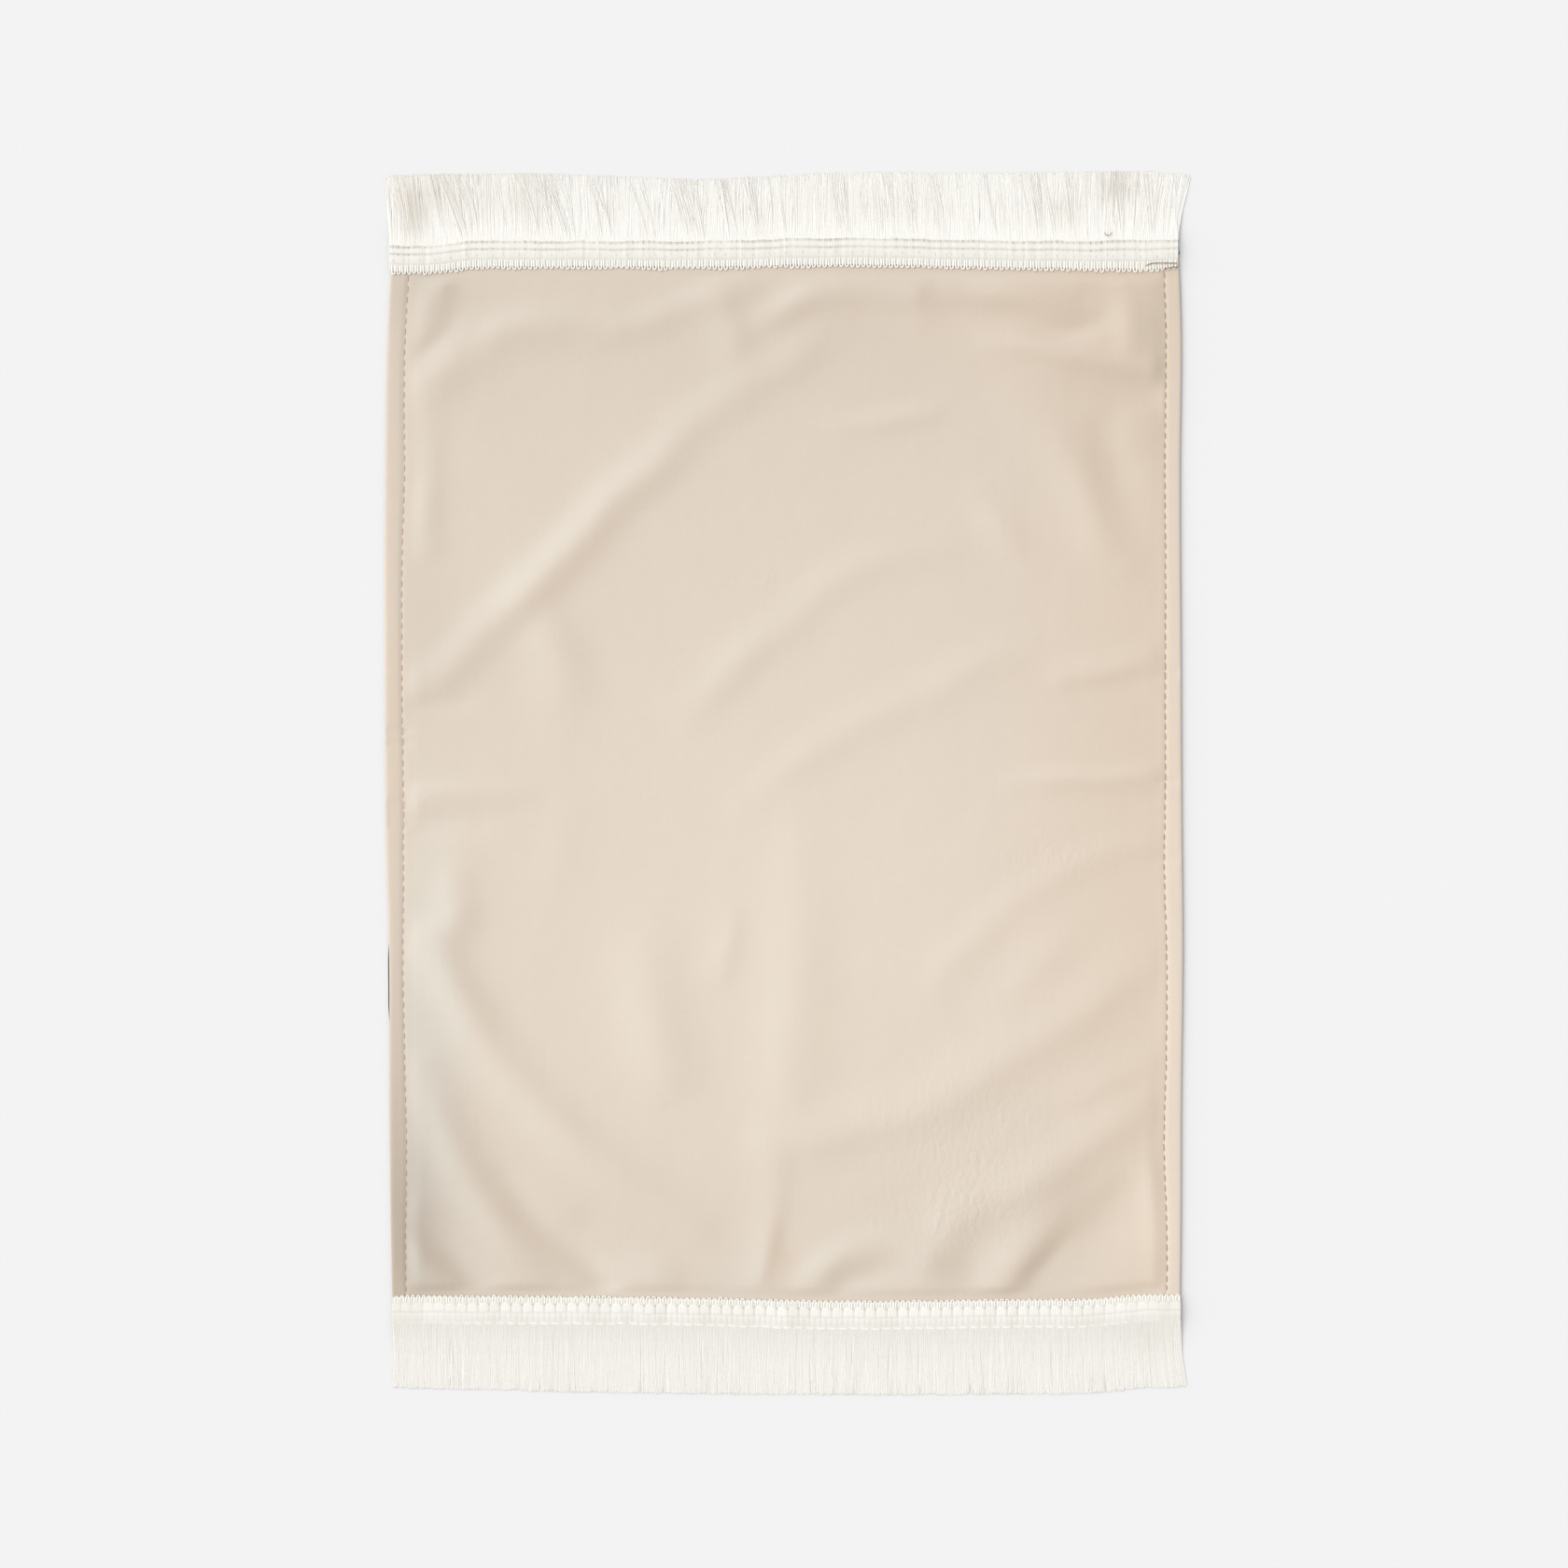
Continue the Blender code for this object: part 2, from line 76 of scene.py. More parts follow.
# %% Smooth curves through table rows
TURN = 2 * np.pi


def smooth_curve(places, values, at):
    """Cubic through the values: a blend of the two near values plus two bows for their slopes."""
    places = np.asarray(places, dtype=float)
    values = np.asarray(values, dtype=float)
    slopes = np.gradient(values, places)
    after = np.clip(np.searchsorted(places, at), 1, len(places) - 1)
    before = after - 1
    span = places[after] - places[before]
    t = np.clip((at - places[before]) / span, 0.0, 1.0)
    rise = t * t * (3 - 2 * t)
    bow_in = t * (1 - t) ** 2 * span * slopes[before]
    bow_out = t * t * (t - 1) * span * slopes[after]
    return values[before] * (1 - rise) + values[after] * rise + bow_in + bow_out


def table_of(kind, lines):
    """The lines of a table, each as a named tuple of the given kind."""
    return [kind(*line) for line in lines]


def line_at(table, place, field, at):
    """A table's column as a smooth curve over another column."""
    return smooth_curve([getattr(row, place) for row in table], [getattr(row, field) for row in table], at)


def ease(share):
    """Soft step: 3 t squared minus 2 t cubed, held at 0 and 1 outside."""
    share = np.clip(share, 0.0, 1.0)
    return share * share * (3 - 2 * share)


def bell(distance, width):
    """Bell curve: e to the power of minus half the squared distance in widths."""
    return np.exp(-0.5 * (distance / width) ** 2)


# %% [markdown]
# ## Nodes in short calls
# A finish is a graph of small nodes. This class makes the few kinds that the rug and its floor need,
# each in one call, so that a material further down reads like its own formula. All of them take
# their places from Object coordinates, where a weave keeps its true pitch in millimetres.

# %% Node helpers
class Graph:
    """The nodes and links of one tree, and a method for each kind of node."""

    def __init__(self, tree):
        self.nodes, self.links = tree.nodes, tree.links

    def feed(self, socket, value):
        """Link a socket to another one, or give it a plain number or colour."""
        if isinstance(value, bpy.types.NodeSocket):
            self.links.new(value, socket)
        else:
            socket.default_value = value

    def add(self, kind, inputs, **settings):
        """The outputs of a new node, whose settings are made first and whose inputs are then fed."""
        node = self.nodes.new("ShaderNode" + kind)
        for label, value in settings.items():
            setattr(node, label, value)
        for label, value in inputs.items():
            self.feed(node.inputs[label], value)
        return node.outputs

    def math(self, operation, *values):
        """A Math node."""
        return self.add("Math", dict(enumerate(values)), operation=operation)[0]

    def mix(self, factor, first, second, blend="MIX"):
        """A colour Mix node."""
        inputs = {"Factor": factor, "A": first, "B": second}
        return self.add("Mix", inputs, data_type="RGBA", blend_type=blend)["Result"]

    def place(self):
        """Object coordinates, in metres."""
        return self.add("TexCoord", {})["Object"]

    def noise(self, scale, detail, stretch=(1.0, 1.0, 1.0)):
        """Noise with so many waves in a metre, drawn out along an axis by a Mapping node."""
        place = self.add("Mapping", {"Vector": self.place(), "Scale": stretch})["Vector"]
        return self.add("TexNoise", {"Vector": place, "Scale": scale, "Detail": detail})["Fac"]

    def attribute(self, label):
        """The number that each point of the mesh carries under this name."""
        return self.add("Attribute", {}, attribute_name=label)["Fac"]

    def bump(self, height, distance, **before):
        """A Bump node of a given depth in metres, over an earlier Normal if one is given."""
        return self.add("Bump", {"Height": height, "Distance": distance, **before})["Normal"]


def new_material(name, **numbers):
    """A material, its graph and its shader's sockets, with some of them set to plain numbers."""
    surface = bpy.data.materials.new(name)
    surface.use_nodes = True
    graph = Graph(surface.node_tree)
    sockets = graph.nodes["Principled BSDF"].inputs
    for label, number in numbers.items():
        sockets[label.replace("_", " ")].default_value = number
    return surface, graph, sockets


# %% [markdown]
# ## Floor, light and camera
# The rug is photographed straight from above on a pale floor, in soft light from the left. A sun
# lamp 95 degrees wide lights the folds evenly over the whole rug, which a near lamp wouldn't, and
# a pale sky fills the shadows. A long lens far above keeps the sides straight.

# %% Floor
def placed(name, data):
    """A new object in the scene that holds this mesh, light or camera."""
    thing = bpy.data.objects.new(name, data)
    bpy.context.collection.objects.link(thing)
    return thing


FLOOR_GREYS = (0.716, 0.716, 0.716, 1.0), (0.722, 0.722, 0.722, 1.0)
FLOOR_HALF = 40.0
BELOW_RUG = 0.0001


def floor_material():
    """Pale matt paper: one grey, a little uneven from one hand's width to the next."""
    surface, graph, sockets = new_material("pale_floor", Roughness=0.9, Specular_IOR_Level=0.1)
    graph.feed(sockets["Base Color"], graph.mix(graph.noise(3.0, 2.0), *FLOOR_GREYS))
    return surface


floor_mesh = bpy.data.meshes.new("floor")
corner_signs = ((-1, -1), (1, -1), (1, 1), (-1, 1))
floor_corners = [(x * FLOOR_HALF, y * FLOOR_HALF, -BELOW_RUG) for x, y in corner_signs]
floor_mesh.from_pydata(floor_corners, [], [(0, 1, 2, 3)])
floor_mesh.materials.append(floor_material())
placed("floor", floor_mesh)

# %% Light
LIGHT_FROM = Vector((-0.80, 0.32, 0.55))
LIGHT_WIDTH = 95
sun = bpy.data.lights.new("soft_side_light", "SUN")
sun.energy = 3.32
sun.angle = np.radians(LIGHT_WIDTH)
sun.color = (1.0, 0.995, 0.985)
placed("soft_side_light", sun).rotation_euler = LIGHT_FROM.to_track_quat("Z", "Y").to_euler()

sky = bpy.data.worlds.new("pale_room")
sky.use_nodes = True
sky_sockets = sky.node_tree.nodes["Background"].inputs
sky_sockets["Color"].default_value = (0.985, 0.99, 1.0, 1.0)
sky_sockets["Strength"].default_value = 0.672
bpy.context.scene.world = sky
bpy.context.scene.view_settings.view_transform = "Standard"

# %% Camera
VIEW_WIDTH = 1.2818
LENS = 85.0
SENSOR = 36.0
RUG_TOP = 0.003
camera = bpy.data.cameras.new("above")
camera.lens = LENS
camera.sensor_width = SENSOR
camera_object = placed("above", camera)
camera_object.location = (*in_metres((0, 0, 0))[:2], VIEW_WIDTH * LENS / SENSOR + RUG_TOP)
bpy.context.scene.camera = camera_object
print("camera height in metres:", round(camera_object.location.z, 3))

# %% [markdown]
# ## Meshes from arrays
# Two kinds of surface are enough for the whole rug. A sheet is a grid of points with a second grid
# below it, closed round its rim. A thread, a cord or a tape is a ring of points carried along a
# path. Both are made of whole arrays, and one helper writes the arrays into a mesh.

# %% Arrays into a mesh
def new_piece(name, points, face_sets, surface, smooth=True, **values):
    """A named mesh object. Each face set is an array of faces; values are numbers for each point."""
    corners = np.concatenate([faces.ravel() for faces in face_sets])
    sizes = np.concatenate([np.full(len(faces), faces.shape[1]) for faces in face_sets])
    mesh = bpy.data.meshes.new(name)
    mesh.vertices.add(len(points))
    mesh.vertices.foreach_set("co", in_metres(points).ravel())
    mesh.loops.add(len(corners))
    mesh.loops.foreach_set("vertex_index", corners)
    mesh.polygons.add(len(sizes))
    mesh.polygons.foreach_set("loop_start", np.concatenate(([0], np.cumsum(sizes)[:-1])))
    mesh.polygons.foreach_set("use_smooth", np.full(len(sizes), smooth))
    mesh.update(calc_edges=True)
    for label, numbers in values.items():
        layer = mesh.attributes.new(label, "FLOAT", "POINT")
        layer.data.foreach_set("value", np.ravel(numbers).astype(np.float32))
    mesh.materials.append(surface)
    piece = placed(name, mesh)
    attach(piece, "root")
    print(name, "has", int((sizes - 2).sum()), "triangles")
    return piece


def grid_faces(rows, columns, start=0):
    """Four corners for each cell of a grid that is stored row by row, seen with its face up."""
    index = start + np.arange(rows * columns).reshape(rows, columns)
    cells = index[:-1, :-1], index[:-1, 1:], index[1:, 1:], index[1:, :-1]
    return np.stack(cells, axis=-1).reshape(-1, 4)


# %% Closed sheets
def closed_sheet(name, upper, lower, surface, **values):
    """Two grids of the same size, one above the other, joined by a wall round their rim."""
    rows, columns = upper.shape[:2]
    count = rows * columns
    index = np.arange(count).reshape(rows, columns)
    rim = np.concatenate((index[0, :-1], index[:-1, -1], index[-1, :0:-1], index[:0:-1, 0]))
    after = np.roll(rim, -1)
    walls = np.stack((rim, rim + count, after + count, after), axis=-1)
    faces = [grid_faces(rows, columns), grid_faces(rows, columns, count)[:, ::-1], walls]
    points = np.concatenate((upper.reshape(-1, 3), lower.reshape(-1, 3)))
    both = {label: np.concatenate((np.ravel(v), np.ravel(v))) for label, v in values.items()}
    return new_piece(name, points, faces, surface, **both)


# %% Rings carried along paths
def swept(name, rings, surface, smooth=True, **values):
    """Many bodies at once: body by ring by point. Neighbouring rings are joined, the ends closed."""
    bodies, steps, around = rings.shape[:3]
    index = np.arange(bodies * steps * around).reshape(bodies, steps, around)
    turned = np.roll(index, -1, axis=2)
    cells = index[:, :-1], turned[:, :-1], turned[:, 1:], index[:, 1:]
    sides = np.stack(cells, axis=-1).reshape(-1, 4)
    spread = {label: np.broadcast_to(v, rings.shape[:3]) for label, v in values.items()}
    faces = [sides, index[:, 0, ::-1], index[:, -1, :]]
    return new_piece(name, rings.reshape(-1, 3), faces, surface, smooth, **spread)


def round_rings(paths, radius, around, flatness=1.0):
    """Ovals set square to each path: the path's point plus radius times (cos a, flatness sin a) in
    the plane of its two cross directions, of which the first is level."""
    tangent = np.gradient(paths, axis=1)
    level = np.cross((0.0, 0.0, 1.0), tangent)
    level /= np.linalg.norm(level, axis=-1, keepdims=True)
    upward = np.cross(tangent, level)
    upward /= np.linalg.norm(upward, axis=-1, keepdims=True)
    angle = np.arange(around) * TURN / around + TURN / 4
    reach = np.broadcast_to(radius, paths.shape[:2])[..., None, None]
    circle = np.cos(angle)[:, None] * level[..., None, :]
    circle = circle + flatness * np.sin(angle)[:, None] * upward[..., None, :]
    return paths[..., None, :] + reach * circle


# %% [markdown]
# ## Finishes
# All of the rug is yarn: woven fine in the sateen, coarser in the backing, and loose in the fringe.
# One node group gives a weave's height and tone, and each woven material places it with its own
# pitch. The shader itself stays in the material.

# %% The weave group
SLUB_SCALE = 260.0
WEFT_DRAWN = (0.10, 1.0, 1.0)
WARP_DRAWN = (1.0, 0.08, 1.0)


def weave_group():
    """Crossing threads: sin x times sin y gives the over and under, and drawn-out noise the slubs."""
    tree = bpy.data.node_groups.new("weave_of_threads", "ShaderNodeTree")
    tree.interface.new_socket("Threads per Metre", in_out="INPUT", socket_type="NodeSocketFloat")
    for label in ("Height", "Tone"):
        tree.interface.new_socket(label, in_out="OUTPUT", socket_type="NodeSocketFloat")
    graph = Graph(tree)
    inside = graph.nodes.new("NodeGroupInput")
    outside = graph.nodes.new("NodeGroupOutput")
    axes = graph.add("SeparateXYZ", {"Vector": graph.place()})
    turn = graph.math("MULTIPLY", inside.outputs[0], np.pi)
    waves = [graph.math("SINE", graph.math("MULTIPLY", axes[axis], turn)) for axis in ("X", "Y")]
    crossing = graph.math("MULTIPLY", *waves)
    slub = graph.math("ADD", *(graph.noise(SLUB_SCALE, 2.0, drawn) for drawn in (WEFT_DRAWN, WARP_DRAWN)))
    graph.feed(outside.inputs["Height"], graph.math("MULTIPLY_ADD", crossing, 0.3, slub))
    graph.feed(outside.inputs["Tone"], graph.math("MULTIPLY", slub, 0.5))
    return tree


WEAVE = weave_group()


def woven(graph, threads_per_metre):
    """The weave group placed in a material with its own pitch."""
    node = graph.nodes.new("ShaderNodeGroup")
    node.node_tree = WEAVE
    node.inputs[0].default_value = threads_per_metre
    return node.outputs["Height"], node.outputs["Tone"]


def cloth_material(name, roughness, sheen):
    """A material with the soft sheen of fibres."""
    return new_material(
        name, Roughness=roughness, Sheen_Weight=sheen, Sheen_Roughness=0.4, Specular_IOR_Level=0.3
    )


# %% [markdown]
# The sateen is a smooth beige with a soft sheen. It is a little pinker down the right side and greener
# at the lower left: hues of the real cloth's dye and wear, which each point of the cloth carries as
# "warmth". Warmth also carries painted shade: the folds' flanks turned from the light and a small
# pleat's shaded side are pinker. Another number, "level", is painted light and shade: lighter below
# the middle and down the right edge, darker towards the ends and the lower left. The last,
# "crinkle", says how crinkled it is. The crinkles are too fine for the mesh, so they are a bump.

# %% Sateen
BEIGE = (0.612, 0.530, 0.445, 1.0)
PINK_BEIGE = (0.600, 0.496, 0.396, 1.0)
GREEN_BEIGE = (0.612, 0.564, 0.488, 1.0)
SATEEN_PITCH = 2400.0
WEAVE_DEPTH = 0.00005
DENT_DEPTH = 0.0005
CRINKLE_DEPTH = 0.0016


def sateen_material():
    """Beige mixed towards pink or green by warmth, times the level, which is painted light and shade,
    and a faint mottle. The weave, shallow dents and the crinkles, which are the creases where a noise
    crosses its middle, are relief."""
    surface, graph, sockets = cloth_material("beige_sateen", 0.55, 0.15)
    height, tone = woven(graph, SATEEN_PITCH)
    warmth = graph.attribute("warmth")
    pinker = graph.math("MAXIMUM", warmth, 0.0)
    greener = graph.math("MAXIMUM", graph.math("MULTIPLY", warmth, -1.0), 0.0)
    color = graph.mix(greener, graph.mix(pinker, BEIGE, PINK_BEIGE), GREEN_BEIGE)
    mottle = graph.math("MULTIPLY_ADD", graph.noise(9.0, 3.0), 0.03, 0.965)
    mottle = graph.math("MULTIPLY_ADD", tone, 0.04, mottle)
    level = graph.math("MULTIPLY", mottle, graph.attribute("level"))
    graph.feed(sockets["Base Color"], graph.mix(1.0, color, level, "MULTIPLY"))
    graph.feed(sockets["Roughness"], graph.math("MULTIPLY_ADD", tone, 0.12, 0.49))
    normal = graph.bump(height, WEAVE_DEPTH)
    normal = graph.bump(graph.noise(26.0, 2.0), DENT_DEPTH, Normal=normal)
    fine = graph.noise(110.0, 2.0, (1.0, 0.6, 1.0))
    valley = graph.math("ABSOLUTE", graph.math("SUBTRACT", fine, 0.5))
    crinkle = graph.math("MULTIPLY", valley, graph.attribute("crinkle"))
    graph.feed(sockets["Normal"], graph.bump(crinkle, CRINKLE_DEPTH, Normal=normal))
    return surface


SATEEN = sateen_material()

# %% [markdown]
# The backing is a matt charcoal cloth that shows as a thin dark line where it has slipped out. The
# heading, loops and fringe are one cream yarn with a silky shine. Its threads differ a little from
# one to the next, so every thread carries its own number, "tone"; on the ribbed heading tone also
# holds painted light, lighter on the beads and block tops. Another, "shade", is painted shade for
# what lies deep: the grooves and ticks of a heading, the tape under the loops, the loops' roots, the
# shadows between the fringe's locks and the patches of the fringe that are thin and greyer. The
# stitches are a light brown sewing thread, and shade takes it towards the cloth's beige.

# %% Backing, yarn and thread
CHARCOAL = (0.022, 0.022, 0.025, 1.0), (0.060, 0.060, 0.066, 1.0)
BACKING_PITCH = 1100.0
STREAK_SCALE = 900.0


def backing_material():
    """Charcoal threads, lighter along their slubs."""
    surface, graph, sockets = cloth_material("charcoal_backing", 0.9, 0.2)
    height, tone = woven(graph, BACKING_PITCH)
    graph.feed(sockets["Base Color"], graph.mix(tone, *CHARCOAL))
    graph.feed(sockets["Normal"], graph.bump(height, 0.0002))
    return surface


def yarn_material(name, light, dark, shaded, streak_stretch, roughness):
    """Light yarn towards dark by each thread's tone and fine streaks, then by shade towards shaded."""
    surface, graph, sockets = cloth_material(name, roughness, 0.25)
    streaks = graph.noise(STREAK_SCALE, 2.0, streak_stretch)
    tone = graph.math("MULTIPLY_ADD", streaks, 0.5, graph.attribute("tone"))
    color = graph.mix(graph.math("SUBTRACT", tone, 0.25), light, dark)
    graph.feed(sockets["Base Color"], graph.mix(graph.attribute("shade"), color, shaded))
    graph.feed(sockets["Roughness"], graph.math("MULTIPLY_ADD", streaks, 0.2, roughness - 0.1))
    graph.feed(sockets["Normal"], graph.bump(streaks, 0.0001))
    return surface


SILK = (0.790, 0.777, 0.737, 1.0)
SILK_DARK = (0.690, 0.670, 0.622, 1.0)
# the colour that the fringe's painted shade mixes towards
FRINGE_SHADE = (0.560, 0.510, 0.440, 1.0)
CREAM = (0.805, 0.792, 0.745, 1.0)
CREAM_DARK = (0.690, 0.670, 0.612, 1.0)
# the colour of painted shade in the headings' grooves, slits and gaps, under the loops and at their roots
GROOVE = (0.360, 0.335, 0.275, 1.0)
LOOP_CREAM = (0.810, 0.785, 0.725, 1.0)
LOOP_CREAM_DARK = (0.730, 0.700, 0.635, 1.0)
BROWN = (0.40, 0.29, 0.20, 1.0)
BROWN_DARK = (0.26, 0.18, 0.12, 1.0)
BACKING = backing_material()
FRINGE_YARN = yarn_material("fringe_yarn", SILK, SILK_DARK, FRINGE_SHADE, (1.0, 0.06, 1.0), 0.42)
HEADING_YARN = yarn_material("heading_yarn", CREAM, CREAM_DARK, GROOVE, (1.0, 0.2, 1.0), 0.5)
LOOP_YARN = yarn_material("loop_yarn", LOOP_CREAM, LOOP_CREAM_DARK, GROOVE, (0.6, 0.6, 1.0), 0.5)
STITCH_THREAD = yarn_material("stitch_thread", BROWN, BROWN_DARK, BEIGE, (1.0, 0.3, 1.0), 0.5)
print("materials:", ", ".join(m.name for m in bpy.data.materials if m.use_nodes))

# %% [markdown]
# ## The cloth's outline
# The cloth is cut a little wider in the middle than at its ends. Its long edges are soft curves, as
# X at each Y, and its ends lie hidden under the two headings, whose own lines wander by a few
# millimetres. The same lines place the cloth, the backing, the headings and the stitches, so that
# they stay together.

# %% Outline and heading lines
Side = namedtuple("Side", "y left right")
SIDES = table_of(Side, (
    (-445, -320.0, 323.8), (-351, -321.6, 324.6), (-275, -322.4, 324.8), (-122, -323.2, 326.2),
    (-46, -325.4, 325.4), (107, -326.2, 324.6), (260, -326.0, 323.8), (374, -324.0, 324.7),
    (448, -320.0, 322.4),
))

# A heading's outer line carries the fringe and its inner one lies on the cloth. The fringe's tips
# end at the tip line, and its strands lean sideways by so much on their way there.
Station = namedtuple("Station", "x outer inner tip lean")
TOP_STATIONS = table_of(Station, (
    (-322.5, 441.0, 416.6, 496.7, -1.0),
    (-305, 441.0, 416.6, 497.5, -5.0),
    (-283, 441.4, 417.0, 498.3, -8.0),
    (-261, 444.4, 419.8, 498.5, -5.0),
    (-200, 444.8, 420.8, 498.5, -2.0),
    (-50, 445.2, 420.7, 494.5, 1.0),
    (23, 447.3, 422.2, 498.5, 0.5),
    (77, 447.3, 422.2, 499.5, -0.5),
    (150, 445.6, 420.8, 499.0, -1.0),
    (260, 445.2, 418.9, 500.5, 1.5),
    (300, 446.2, 418.6, 500.0, 6.0),
    (322.5, 446.0, 421.4, 497.0, 9.0),
))
BOTTOM_STATIONS = table_of(Station, (
    (-320, -441.8, -417.2, -493.3, 0.5),
    (-250, -442.2, -417.4, -494.8, -1.0),
    (-83, -443.3, -418.9, -498.2, 0.5),
    (46, -446.7, -421.6, -499.0, -0.5),
    (183, -445.2, -420.4, -498.6, 1.0),
    (260, -444.0, -419.2, -497.0, 1.5),
    (290, -440.3, -416.6, -493.7, 3.0),
    (324.5, -439.8, -416.5, -493.1, 4.5),
))

BACKING_TOP = 1.0
CLOTH_UNDER = 1.3
CLOTH_THICKNESS = 1.5
HEADING_UNDER = 3.1
cloth_box = np.array(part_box("cloth"))
print("cloth in the model, millimetres:", np.round((cloth_box[1] - cloth_box[0]) * 1000, 1))
